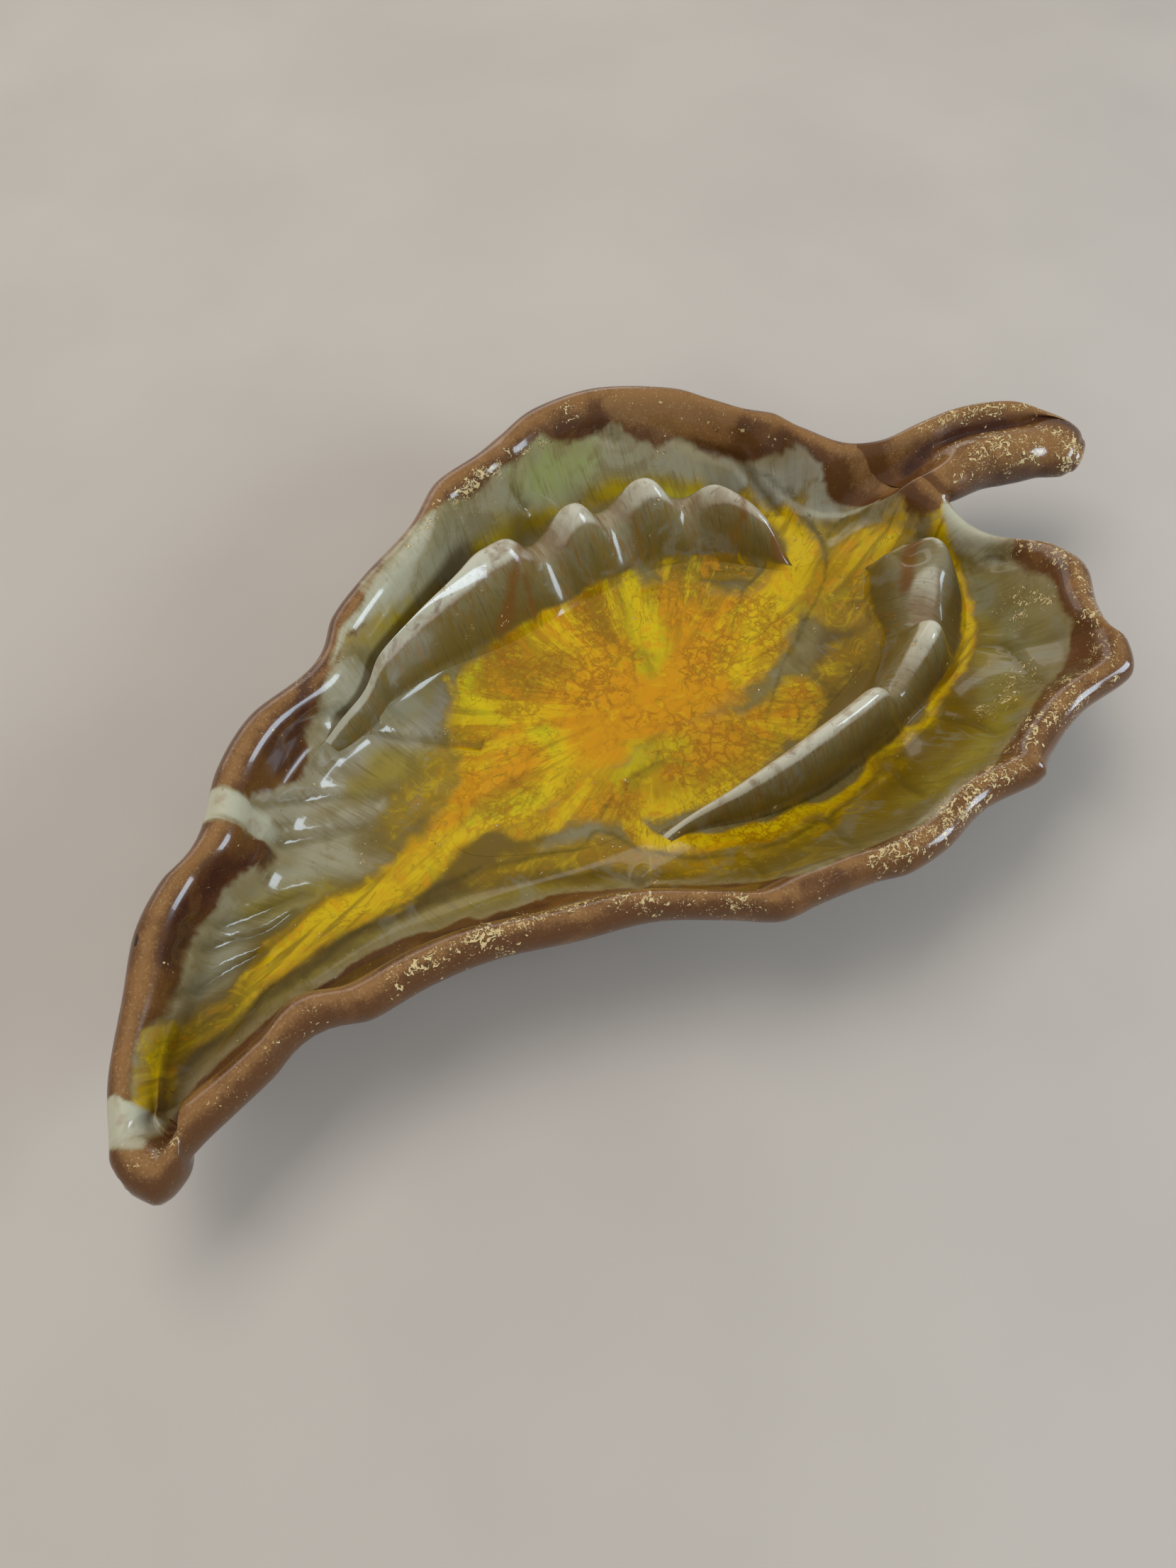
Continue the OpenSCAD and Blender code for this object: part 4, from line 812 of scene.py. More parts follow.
BRIGHT = [
    # half mixed with the thin glaze round the pool
    ((.24, .15, .002), .55, 6, [(-62, -14, 3), (-44, -20, 6), (-28, -30, 6), (-20, -42, 5), (-8, -55, 5),
        (20, -62, 5), (50, -62, 4)]),
    ((.22, .15, .004), .5, 5, [(-72, 12, 4), (-58, 16, 6), (-48, 24, 5)]),
    ((.3, .17, .004), .75, 5, [(64, 14, 4), (72, 6, 6), (79, -4, 7), (83, -13, 5)]),
    ((.2, .12, .01), .55, 5, [(86, -12, 6), (91, -20, 4), (64, -22, 5)]),
    # the stream down the valley
    (GOLD, 1, 2.6, [(-162, -32, .8), (-152, -19, 2), (-138, -12, 2.8), (-120, -7, 3.4), (-104, -4, 4.4),
        (-88, -2, 6), (-70, 0, 7)]),
    (YELLOW, .95, 1.6, [(-160, -30, .4), (-150, -17.5, 1), (-136, -11.5, 1.6), (-118, -6.5, 2),
        (-102, -3, 3), (-86, -1, 4)]),
    (OLIVE, .7, 1.2, [(-150, -20, .3), (-134, -9.5, .5), (-116, -3.5, .6), (-98, 1.5, .7), (-84, 4, .6)]),
    (ORANGE, .4, 2.5, [(-90, -2, 1), (-78, 1, 2), (-62, 6, 3), (-50, 8, 3)]),
    # the pool
    (ORANGE, 1, 5, [(-66, 3, 3), (-52, 6, 8), (-36, 9, 15), (-14, 14, 22), (10, 16, 25), (36, 12, 22),
        (56, 4, 12)]),
    ((.37, .19, .001), 1, 4, [(-38, 22, 6), (-22, 34, 11), (0, 38, 11), (22, 38, 10), (42, 32, 6)]),
    ((.13, .08, .008), .9, 3, [(46, 40, 2), (55, 35, 4), (63, 30, 4), (68, 23, 2)]),
    ((.2, .13, .002), .75, 2, [(-152, -20, 1.2), (-141, -12.5, 2.4), (-131, -9.5, 1.6)]),
    (GOLD, 1, 4, [(-24, -10, 8), (-6, -20, 11), (14, -24, 12), (34, -26, 10), (50, -22, 7)]),
    (ORANGE, .8, 6, [(-44, 12, 3), (-26, 13, 6), (0, 12, 11), (24, 4, 16), (40, 0, 10)]),
    (ORANGE, .8, 5, [(10, -12, 11), (30, -22, 8), (46, -24, 4)]),
    ((.26, .15, .002), .8, 3, [(-44, 24, 2), (-36, 32, 3), (-24, 42, 3)]),
    ((.28, .15, .002), .85, 3, [(-14, 46, 4), (-12, 38, 4), (-12, 30, 2)]),
    ((.25, .14, .002), .85, 2, [(22, 46, 2), (19, 36, 2.5), (16, 28, 1.5)]),
    ((.3, .15, .004), .8, 3, [(46, 38, 3), (50, 28, 4), (48, 20, 2)]),
    (ORANGE, .9, 3, [(6, 45, 3), (10, 36, 3.5), (8, 26, 3)]),
    (ORANGE, .8, 2, [(40, 34, 2), (42, 24, 2.5), (40, 16, 2)]),
    (YELLOW, .95, 3, [(-78, -2, 2), (-58, 0, 3.5), (-40, -2, 4), (-24, 2, 4), (-18, 9, 4.5), (-20, 16, 3)]),
    (LIME, .9, 2, [(-20, 8, 1.5), (-18, 12, 3), (-21, 15, 1.5)]),
    (LIME, .9, 3, [(-54, 2, 2), (-44, 1, 3.5), (-34, -1, 3)]),
    (LIME, .85, 2.5, [(-26, 22, 1.5), (-29, 32, 3), (-27, 42, 3), (-22, 45, 1.5)]),
    ((.3, .22, .004), .7, 1.6, [(-32, 45, 1), (-33, 36, 1.6), (-30, 26, 1)]),
    (LIME, .95, 3, [(35, 45, 3.5), (31, 34, 6), (26, 22, 7), (19, 15, 4)]),
    (YELLOW, .85, 2.5, [(34, 42, 2), (30, 30, 4), (25, 19, 3)]),
    ((.3, .2, .003), .75, 1.8, [(16, 24, 1), (21, 18, 1.8), (18, 12, 1.4)]),
    (LIME, .8, 3, [(-12, -12, 3), (0, -10, 4), (12, -14, 3)]),
    ((.28, .19, .002), .85, 1.8, [(-26, -18, .8), (-14, -17, 1.8), (-2, -14, 2), (6, -16, 1.6),
        (10, -22, 1)]),
    ((.28, .19, .002), .7, 1.6, [(-4, -2, 1), (2, -7, 1.4), (10, -8, 1)]),
    (YELLOW, .9, 3, [(-14, -24, 4), (-2, -30, 4), (12, -35, 3)]),
    (ORANGE, .7, 3, [(-34, -12, 2), (-22, -14, 3), (-12, -20, 2)]),
    (GOLD, .9, 3, [(-44, -8, 3), (-30, -10, 4)]),
    # the arm that comes from behind the left rest
    (YELLOW, 1, 3, [(40, -6, 3), (54, 2, 6), (66, 8, 7), (78, 12, 7), (86, 18, 5), (89, 27, 3),
        (86, 36, 1.8), (80, 44, .8)]),
    (ORANGE, .6, 2, [(52, 12, 2), (64, 16, 2), (76, 19, 1.5)]),
    (GOLD, .8, 2, [(48, -8, 2), (60, -4, 2.5), (72, 0, 2)]),
    ((.3, .2, .002), .8, 1.3, [(46, 8, .5), (56, 13, .8), (66, 18, .8), (76, 20, .5)]),
    ((.26, .17, .002), .7, 1.3, [(50, -9, .5), (62, -5, .8), (74, 0, .8), (84, 6, .6)]),
    # the bay and the ring round the right rest
    (GOLD, 1, 3, [(82, 2, 4), (90, 3, 7), (101, 2, 6), (110, -1, 3)]),
    ((.3, .17, .002), .8, 3, [(78, -4, 2), (86, -6, 4), (92, -8, 3)]),
    (YELLOW, .9, 2, [(94, 1, 1.5), (104, 2, 2), (110, -1, 1.6)]),
    ((.25, .16, .003), .8, 1.5, [(84, -3, 1), (92, -2, 1.5), (98, -4, 1)]),
    (GOLD, 1, 2, [(-17, -24, 3), (-17.5, -34, 3), (-12, -41, 3.4), (-4, -46.5, 3.6), (8, -52, 3.6),
        (24, -56, 3), (44, -57.5, 2.2), (64, -55, 1.8), (82, -50, 1.8), (96, -43.5, 2.2), (109, -33, 2.6),
        (116, -20, 2.4), (115.5, -6, 2), (110, 1, 2.4)]),
    ((.17, .11, .004), .8, 2, [(46, -57.5, 1.5), (60, -56, 2.4), (74, -53, 1.5)]),
    (YELLOW, .95, 1.5, [(-15, -27, 2), (-15.5, -34, 2.4), (-9.5, -41, 2.8), (0, -47, 2.6), (14, -53, 2),
        (34, -56, 1), (56, -56, .8), (80, -50.5, 1), (98, -42.5, 1.6), (110, -32, 2), (116.5, -20, 1.8),
        (116, -8, 1.6), (111, 1, 1.6)]),
]
# Brown runs over the rests
DRIPS = [
    [(14, 70, .9), (10, 66, 1), (8, 61, .7), (4, 57, .8), (-1, 53, 1), (-6, 49.5, 1.2), (-11, 47.5, .6)],
    [(3, 52, .5), (2.5, 49, .9), (2, 47, .5)],
    [(84, 39.5, .5), (80, 38.5, .6), (76, 35.5, .5), (72, 31.5, .5)],
    [(78, 38, 1), (83, 32, 3), (84, 26, 4.5), (82, 21, 4.5)],
    [(11.5, -42.5, .3), (12.5, -46, .4)],
    [(18, -42.5, .5), (18.6, -47, .5)],
    [(108, -10, .8), (104, -10.5, 2), (99, -14, 2.2), (94, -19, 1.4)],
    [(34.5, 58, .3), (36, 52, .5), (36.5, 49, .3)]]
# The veins, from the edge inwards
VEINS = [
    [(-112, 47), (-92, 39), (-77.5, 40), (-62, 37), (-48, 30), (-36, 21)],
    [(-110, 27), (-101.5, 26.4), (-90, 27), (-79, 25), (-72, 20.8)],
    [(-116, 22), (-106.4, 19.8), (-99.4, 19.4), (-87.4, 17.2), (-79, 15.7)],
    [(-138, 7), (-125.7, 7), (-117.8, 6.7), (-108.9, 6.7), (-101.7, 6)],
    [(-144, 1), (-131.8, 3.3), (-125, 3.3), (-117, 2.2), (-107.5, 3.8)],
    [(-154, -9), (-142, -6), (-131, -3), (-120, -2)],
    [(126, -28), (121.7, -26)],
    [(124, -47), (123.7, -35.7), (121, -28)],
    [(93, -80), (95, -69.3), (99.7, -59.2), (102.7, -51.7), (101.5, -44.7)],
    [(69, -84), (70.7, -73), (74, -64), (73.4, -55)],
    [(36, -86), (41.6, -74), (49.5, -60.4)],
    [(12, -84), (18, -72), (24, -61)],
    [(-14, -78), (-8, -68), (-2, -58)],
    [(-40, -58), (-33, -48), (-26, -42)],
    [(40, 86), (49.5, 78.9), (55.6, 75)],
    [(68, 70), (76.4, 59.8), (81.3, 53.6), (84.6, 47.3), (87.8, 30.6)],
    [(104, 20), (99, 13), (96, 17)],
    [(10, 86), (16, 79), (20, 75)]]


def stroke(xy, amount, soft, line):
    """Amount of one stroke of a soft brush at each place."""
    smooth = curve_through(line, 4, False) if len(line) > 2 else np.asarray(line, float)
    reach = smooth[:, 2].max() + soft
    near = ((xy > smooth[:, :2].min(0) - reach) & (xy < smooth[:, :2].max(0) + reach)).all(1)
    value = np.zeros(len(xy))
    value[near] = amount * (1 - ease((off_line(xy[near], smooth) / soft + 1) / 2))
    return value


# Cells of the grid that wander reads, and how far its middle lies from its corner
WANDER_CELLS, WANDER_SHIFT = 95, 40


def wander(xy, wide, seed):
    """A smooth random vector at each place, between -1 and 1, that changes over a width in mm."""
    grid = np.random.default_rng(seed).uniform(-1, 1, (WANDER_CELLS + 1, WANDER_CELLS + 1, 2))
    u = xy / wide + WANDER_SHIFT
    i = np.floor(u).astype(int)
    t = ease(u - i)
    a, b = i[:, 0] % WANDER_CELLS, i[:, 1] % WANDER_CELLS
    x, y = t[:, :1], t[:, 1:]
    low, high = (grid[a, b + k] * (1 - x) + grid[a + 1, b + k] * x for k in (0, 1))
    return low * (1 - y) + high * y


def washed(xy, washes, base):
    """Colour of the washes at each place, and how well they cover it."""
    spot = xy + 2.2 * wander(xy, 17, 3) + 1.3 * wander(xy, 7, 4) + .6 * wander(xy, 3, 5)
    tints, cover = np.tile(np.array(base), (len(xy), 1)), np.zeros(len(xy))
    for tint, amount, soft, line in washes:
        k = stroke(spot, amount, soft, line)
        tints, cover = lerp(tints, np.array(tint), k[:, None]), np.maximum(cover, k)
    return tints, cover


def painted(xy, kind):
    """The most that any stroke of a kind gives at each place."""
    xy = xy + .9 * wander(xy, 8, 6)
    value = np.zeros(len(xy))
    for amount, soft, line in STROKES[kind]:
        value = np.maximum(value, stroke(xy, amount, soft, line))
    return value


def outside(xy, line):
    """Distance of points from a closed line, above 0 outside it."""
    p = np.asarray(line, float)
    q = np.roll(p, -1, 0)
    gap = off_line(xy, np.vstack([p, p[:1]]))
    inside = np.zeros(len(xy), bool)
    for a, b in zip(p, q):
        crosses = (a[1] > xy[:, 1]) != (b[1] > xy[:, 1])
        with np.errstate(divide="ignore", invalid="ignore"):
            x = a[0] + (xy[:, 1] - a[1]) * (b[0] - a[0]) / (b[1] - a[1])
        inside ^= crosses & (xy[:, 0] < x)
    return np.where(inside, -gap, gap)


def glaze_places(leaf, points, flow, top, crest=0, drips=False):
    """Vertex attributes that say how much of each glaze lies where. top is 0 on the underside."""
    xy = points[:, :2] * (PLAN_LENGTH / leaf.l, PLAN_WIDTH / leaf.w)
    amount = {kind: painted(xy, kind) * top for kind in STROKES}
    if drips:
        brown = np.max([-off_line(xy, line) for line in DRIPS], axis=0)
    else:
        brown = np.where(top > .5, outside(xy, BROWN_EDGE), ALL_BROWN)
    # crest adds tan along the top of the roll: thin glaze there, and a painted highlight as well
    tan = np.maximum(amount["tan"], crest)
    thin = washed(xy, THIN, THIN_BASE)[0]
    bright, wet = washed(xy, BRIGHT, GOLD)
    return {"thin": thin, "bright": bright,
            "glaze_a": np.column_stack([brown, amount["pale"], amount["dark"]]),
            "glaze_b": np.column_stack([amount["flake"], tan, amount["wine"]]),
            "glaze_c": np.column_stack([amount["speck"], wet * top, 0 * brown]),
            "flow": flow * MM}


# Places of the stem's section along its top, its side, its underside and its other side
SECTION_SIDES = (10, 3, 10, 3)
# Angles of the roll between which the stem is seated, and those that round its end off
STEM_SEAT, END_ANGLES = (85, -71), (20, 40, 60, 76)
# How far the stem's end is domed, in mm, at its last ring and at its pole
END_DOME, END_POLE = 2.1, 2.15
# Rounds that soften the stem's root, how far out they reach in mm, and rounds for the hidden seat
ROOT_ROUNDS, ROOT_REACH, SEAT_ROUNDS = 44, 16, 300
# The groove's way over the edge and down the wall, from under the middle of the dish, in mm
GROOVE_RUN = [(88, 21), (95, 18.2), (102, 15.6), (109, 13.2), (116, 11), (124, 8.8), (133, 7)]
# Height of the groove's sides in mm, so far out from its line, and how soft they meet the leaf
GROOVE_SIDE, GROOVE_OUT, GROOVE_SOFT = 4.2, 6, .7
# The groove is whole as far out as this, and fades in and out from one x on over a length, in mm
GROOVE_WHOLE, GROOVE_IN, GROOVE_END = 3.5, (90, 9), (126, 7)
# Middle of the box in which it is cut, and half the box's length and width, in mm
GROOVE_MIDDLE, GROOVE_HALF = (111, 13), (30, 24)


class Joined:
    """The leaf's net and the stem's rings as one skin, so that the roll flows into the stem"""

    def __init__(self, leaf):
        self.leaf = leaf
        n, rows = leaf.n, leaf.rows
        self.hubs = leaf.ribs * FINE + 1
        self.hub = np.rint(leaf.rib * FINE).astype(int)
        self.first = np.array([np.argmax(self.hub == k) for k in range(self.hubs)])
        self.points = self.spread(leaf.points)
        self.leaf_count = len(self.points)
        i0, i1 = leaf.root
        j0, j1 = (leaf.roll_row + ROLL_ANGLES.index(a) for a in STEM_SEAT)
        faces, seat = [], []
        for j in range(rows - 1):
            for i in range(n):
                k = (i + 1) % n
                loop = [self.at(i, j), self.at(k, j), self.at(k, j + 1), self.at(i, j + 1)]
                loop = [v for m, v in enumerate(loop) if v != loop[m - 1]]
                (seat if i0 <= i < i1 and j0 <= j < j1 else faces).append(loop)
        self.faces, self.seat = faces, seat
        self.rim = [self.at(i, j0) for i in range(i0, i1)] + [self.at(i1, j) for j in range(j0, j1)]
        self.rim += [self.at(i, j1) for i in range(i1, i0, -1)] + [self.at(i0, j) for j in range(j1, j0, -1)]
        self.stem(i1 - i0, j1 - j0)
        self.soften_root()

    def spread(self, grid):
        """Values for the leaf's vertices, from a grid of rays and rows: rays share both their ends."""
        body = grid[:, 1:-1].swapaxes(0, 1).reshape(-1, *grid.shape[2:])
        return np.concatenate([grid[self.first, 0], body, grid[self.first, -1]])

    def at(self, i, j):
        """Vertex of a ray and a row."""
        if j == 0:
            return int(self.hub[i])
        if j == self.leaf.rows - 1:
            return int(self.hubs + (self.leaf.rows - 2) * self.leaf.n + self.hub[i])
        return int(self.hubs + (j - 1) * self.leaf.n + i)

    def stem(self, wide, deep):
        """Rings from the seat in the roll out to the stem's end."""
        leaf, size = self.leaf, self.leaf.size
        dense = curve_through(STEM_SECTION, 12, True)
        turn, begin = np.zeros(0), 0
        for count, places in zip((wide, deep, wide, deep), SECTION_SIDES):
            turn = np.append(turn, begin + np.arange(count) * places / count)
            begin += places
        grooved = dense[np.rint(turn * 12).astype(int) % len(dense)]
        around = np.arctan2(grooved[:, 1], grooved[:, 0])
        oval = np.column_stack([np.cos(around), np.sin(around)]) * (1, .97)
        keys = [self.points[self.rim]]
        for x, y, z, w, t, angle in STEM:
            centre = leaf.place([(x, y, z)])[0]
            a = math.radians(angle)
            side = np.array([-math.sin(a), math.cos(a), 0])
            blunt = ease((x - .9) / .075)
            section = lerp(grooved, oval, blunt)
            keys.append(centre + section[:, :1] * side * w * mm(size.stem_width) / 2
                        + section[:, 1:] * np.array([0, 0, 1]) * t * mm(size.stem_thick) / 2)
        keys = np.array(keys)
        m = len(turn)
        rings = curve_through(keys.reshape(len(keys), -1), 6, False).reshape(-1, m, 3)[1:]
        last, before = rings[-1], rings[-4]
        middle = last.mean(0)
        way = middle - before.mean(0)
        way /= np.linalg.norm(way)
        for angle in np.radians(END_ANGLES):
            ring = middle + (last - middle) * math.cos(angle) + way * END_DOME * math.sin(angle)
            rings = np.concatenate([rings, ring[None]])
        base = len(self.points)
        self.points = np.vstack([self.points, rings.reshape(-1, 3), middle + way * END_POLE])
        pole = len(self.points) - 1

        def at(r, k):
            return self.rim[k % m] if r == 0 else base + (r - 1) * m + k % m
        self.stem_faces = sleeve(at, len(rings), m, pole)
        self.turn, self.rings = turn, len(rings)
        steps = np.linalg.norm(np.diff(rings.mean(1), axis=0), axis=1)
        self.ring_run = np.concatenate([[0], np.cumsum(steps)])

    def soften_root(self):
        """Lets the roll flow into the stem, and evens out the seat inside."""
        loops = [np.array([f for f in self.faces + self.stem_faces if len(f) == k]) for k in (3, 4)]
        pairs = np.vstack([np.stack([f, np.roll(f, -1, 1)], -1).reshape(-1, 2) for f in loops if len(f)])
        pairs = np.unique(np.sort(pairs, 1), axis=0)
        rim = self.points[self.rim]
        box_low, box_high = rim.min(0) - ROOT_REACH, rim.max(0) + ROOT_REACH
        inside = np.flatnonzero(((self.points > box_low) & (self.points < box_high)).all(1))
        gap = np.linalg.norm(self.points[inside, None] - rim[None, ::2], axis=2).min(1)
        weight = np.zeros(len(self.points))
        weight[inside] = .6 * (1 - ease(gap / ROOT_REACH))
        held = {v for f in self.seat for v in f} - set(self.rim)
        weight[list(held)] = 0
        pairs = pairs[(weight[pairs] > 0).any(1)]
        count = np.bincount(pairs.ravel(), minlength=len(self.points))[:, None]
        for _ in range(ROOT_ROUNDS):
            total = np.zeros_like(self.points)
            np.add.at(total, pairs[:, 0], self.points[pairs[:, 1]])
            np.add.at(total, pairs[:, 1], self.points[pairs[:, 0]])
            mean = np.where(count > 0, total / np.maximum(count, 1), self.points)
            self.points = self.points + (mean - self.points) * weight[:, None]
        self.cut_groove()
        held = sorted(held)
        pairs = np.array([p for f in self.seat for p in zip(f, f[1:] + f[:1])])
        for _ in range(SEAT_ROUNDS):
            total, count = np.zeros_like(self.points), np.zeros((len(self.points), 1))
            np.add.at(total, pairs[:, 0], self.points[pairs[:, 1]])
            np.add.at(count, pairs[:, 0], 1)
            self.points[held] = total[held] / count[held]

    def cut_groove(self):
        """The groove between the stem's rolls runs on over the edge and down the wall."""
        middle = (self.points.min(0) + self.points.max(0)) / 2
        xy = self.points[:, :2] - middle[:2]
        near = np.flatnonzero((np.abs(xy - GROOVE_MIDDLE) < GROOVE_HALF).all(1))
        normals = vertex_normals(self.points, self.faces + self.stem_faces)[near]
        near, normals = near[normals[:, 2] > 0], normals[normals[:, 2] > 0]
        path = curve_through(GROOVE_RUN, 6, False)
        ends = [self.points[near[np.argmin(np.hypot(*(xy[near] - end).T))], 2] for end in (path[0], path[-1])]
        off, x = off_line(xy[near], path), xy[near, 0]
        bed = np.interp(x, [path[0, 0], path[-1, 0]], ends) + GROOVE_SIDE * (off / GROOVE_OUT) ** 2
        over = GROOVE_SOFT * np.logaddexp(0, (self.points[near, 2] - bed) / GROOVE_SOFT)
        fade_in, fade_out = (ease((x - start) / run) for start, run in (GROOVE_IN, GROOVE_END))
        share = ease(normals[:, 2] / .35) * (1 - ease((off - GROOVE_WHOLE) / GROOVE_OUT))
        share = share * fade_in * (1 - fade_out)
        self.points[near, 2] -= over * share


def shifted(points):
    """Puts the origin under the middle of the whole dish, as the CAD source does."""
    return points - made["shift"]


def leaf_flow(leaf, share, across):
    """Place in the glaze's flow: along the edge from the tip, and across it."""
    s = leaf.total * np.abs(np.mod(share + .5, 1) - .5)
    return np.column_stack([s, across, leaf.total / 6.28 * np.sin(2 * np.pi * share)])


def clipped(points):
    """Keeps the dressed piece within the box of the CAD model."""
    low, high = (np.array(c) / MM for c in CAD_BOX)
    return np.clip(points, low, high)


# Rounds that soften a notch's corners, and points to a corner of the foot ring
NOTCH_ROUNDS, FOOT_ROUND_POINTS = 14, 4


def vein_tree():
    """Sinks the wall along the lines of the veins."""
    g, given = node_group("Vein relief", Depth="Float", Width="Float", Lines="Object")
    lines = g.new("GeometryNodeObjectInfo", {"Object": given["Lines"]})
    near = g.new("GeometryNodeProximity", {0: lines.outputs["Geometry"]}, target_element="EDGES")
    vein = g.times(g.below(near.outputs["Distance"], 0.0, given["Width"]), g.named("wall"))
    kept = g.keep(given["Geometry"], "vein", vein)
    down = g.vector("SCALE", g.new("GeometryNodeInputNormal").outputs[0],
                    scale=g.times(vein, given["Depth"], -1.0))
    moved = g.new("GeometryNodeSetPosition", {"Geometry": kept, "Offset": down})
    return finished(g, moved.outputs[0], given["Material"])


def notch_tree():
    """Saddles cut across a rest: each notch has a flat bottom and two sides with runs of their own."""
    sizes = dict.fromkeys(("First", "Pitch", "Flat", "Depth", "Before", "After"), "Float")
    g, given = node_group("Rest notches", Count="Int", **sizes)
    lift = g.named("lift")
    past = g.math("SUBTRACT", g.named("run"), given["First"])
    turn = g.math("ROUND", g.math("DIVIDE", past, given["Pitch"]))
    turn = g.math("MINIMUM", g.math("MAXIMUM", turn, 0.0), g.math("SUBTRACT", given["Count"], 1.0))
    gap = g.math("SUBTRACT", past, g.times(turn, given["Pitch"]))
    ahead = g.math("GREATER_THAN", gap, 0.0)
    side = g.add(g.times(ahead, given["After"]), g.times(g.one_less(ahead), given["Before"]))
    climb = g.math("DIVIDE", g.math("SUBTRACT", g.math("ABSOLUTE", gap), given["Flat"]), side)
    cut = g.below(climb, 0.0, 1.0)
    drop = g.times(cut, lift, g.times(given["Depth"], -1.0))
    kept = g.keep(given["Geometry"], "cut", cut)
    moved = g.new("GeometryNodeSetPosition", {"Geometry": kept, "Offset": g.xyz(z=drop)})
    place = g.new("GeometryNodeInputPosition").outputs[0]
    soft = g.new("GeometryNodeBlurAttribute", {
        "Value": place, "Iterations": NOTCH_ROUNDS, "Weight": g.step(lift, .1, .5)}, data_type="FLOAT_VECTOR")
    rounded = g.new("GeometryNodeSetPosition", {
        "Geometry": moved.outputs[0], "Position": soft.outputs["Value"]})
    return finished(g, rounded.outputs[0], given["Material"])


def foot_tree():
    """A rounded section carried round the foot's line."""
    g, given = node_group("Foot ring", Width="Float", Height="Float", Rounding="Float")
    path = g.new("GeometryNodeMeshToCurve", {0: given["Geometry"]})
    upright = g.new("GeometryNodeSetCurveNormal", {0: path.outputs[0]}, mode="Z_UP")
    box = g.new("GeometryNodeCurvePrimitiveQuadrilateral", {
        "Width": given["Width"], "Height": given["Height"]})
    soft = g.new("GeometryNodeFilletCurve", {
        "Curve": box.outputs[0], "Radius": given["Rounding"], "Count": FOOT_ROUND_POINTS}, mode="POLY")
    sweep = g.new("GeometryNodeCurveToMesh", {"Curve": upright.outputs[0], "Profile Curve": soft.outputs[0]})
    return finished(g, sweep.outputs[0], given["Material"])


# A rest goes on past its foot lines by this share of its seat; places across it, softening rounds
REST_PAST, REST_PLACES, REST_ROUNDS = .12, 53, 3
# How far a rest's rim and its underside go into the seat, in mm
REST_SINK, REST_DEPTH = .9, 2.4


def rest_piece(leaf, rays, pads, crest, lean, top_table, height, profile_at):
    """A rest as a closed ridge on its seat, with a crest that leans and rounded ends."""
    i0, i1 = rays
    i = np.arange(i0 - pads[0][0], i1 + pads[1][0] + 1)
    t = leaf.seat_at(crest)[0]
    line = (leaf.start[:, :2] + leaf.way * (t * leaf.reach)[:, None])[i % leaf.n]
    run = runs(line)
    run = run - run[pads[0][0]]
    total = run[len(run) - 1 - pads[1][0]]
    share = np.clip(run / total, 0, 1)
    before = np.clip(-run / max(pads[0][1], 1e-6), 0, 1)
    after = np.clip((run - total) / max(pads[1][1], 1e-6), 0, 1)
    fade = np.sqrt(np.clip(1 - before ** 2, 0, 1)) * np.sqrt(np.clip(1 - after ** 2, 0, 1))
    q = np.linspace(-REST_PAST, 1 + REST_PAST, REST_PLACES)
    profile = np.array([profile_at(q, s) for s in share])
    profile[:, (q < 0) | (q > 1)] = 0
    for _ in range(REST_ROUNDS):
        mid = (np.roll(profile, 1, 1) + np.roll(profile, -1, 1)) / 2
        profile[:, 1:-1] += ((mid - profile) * .5)[:, 1:-1]
    bend = table(lean, share)[:, None] if lean else np.zeros((len(i), 1))
    c = q[None] + bend * np.clip(np.minimum(q / crest, (1 - q) / (1 - crest)), 0, 1)[None]
    ii = i % leaf.n
    seat_t = lerp(leaf.basin_t[ii, None], leaf.bench_t[ii, None], c)
    seat_z = lerp(leaf.basin_z[ii, None], leaf.bench_z[ii, None], c)
    crest_z = lerp(leaf.basin_z[ii], leaf.bench_z[ii], crest + bend[:, 0])
    rise = leaf.floor + height * smooth_table(top_table, share) - crest_z
    lift = profile * fade[:, None]
    sink = REST_SINK * np.clip(np.maximum(-q, q - 1) / REST_PAST, 0, 1)
    up = seat_z + rise[:, None] * lift - sink[None] - .5 * (1 - fade)[:, None]
    xy = leaf.start[ii, None, :2] + leaf.way[ii, None] * (seat_t * leaf.reach[ii, None])[..., None]
    top = np.concatenate([xy, up[..., None]], -1)
    low = np.concatenate([xy, np.minimum(seat_z - REST_DEPTH, up - .5)[..., None]], -1)
    m, w = len(i), len(q)
    points = shifted(np.concatenate([top.reshape(-1, 3), low.reshape(-1, 3)]))
    faces = []
    for a in range(m - 1):
        for b in range(w - 1):
            p = a * w + b
            faces.append([p, p + w, p + w + 1, p + 1][::-1])
            faces.append([p + m * w, p + w + m * w, p + w + 1 + m * w, p + 1 + m * w])
    border = ([a * w for a in range(m)] + [(m - 1) * w + b for b in range(1, w)]
              + [a * w + w - 1 for a in range(m - 2, -1, -1)] + [b for b in range(w - 2, 0, -1)])
    for p, r in zip(border, border[1:] + border[:1]):
        faces.append([p, r, r + m * w, p + m * w])
    v = lerp(leaf.across[ii, leaf.basin_row, None], leaf.across[ii, leaf.bench_row, None], c)
    v = v + .8 * rise[:, None] * lift
    s = leaf.total * np.abs(np.mod(leaf.share[ii] + .5, 1) - .5)
    flow = np.column_stack([np.repeat(s, w), v.ravel(), np.zeros(m * w)])
    flow = np.vstack([flow, flow])
    lifts, crests = (np.concatenate([v.ravel(), 0 * v.ravel()]) for v in (lift, profile))
    floats = {"run": np.tile(np.repeat(run, w), 2) * MM, "lift": lifts}
    return points, faces, floats, flow, crests, total * MM


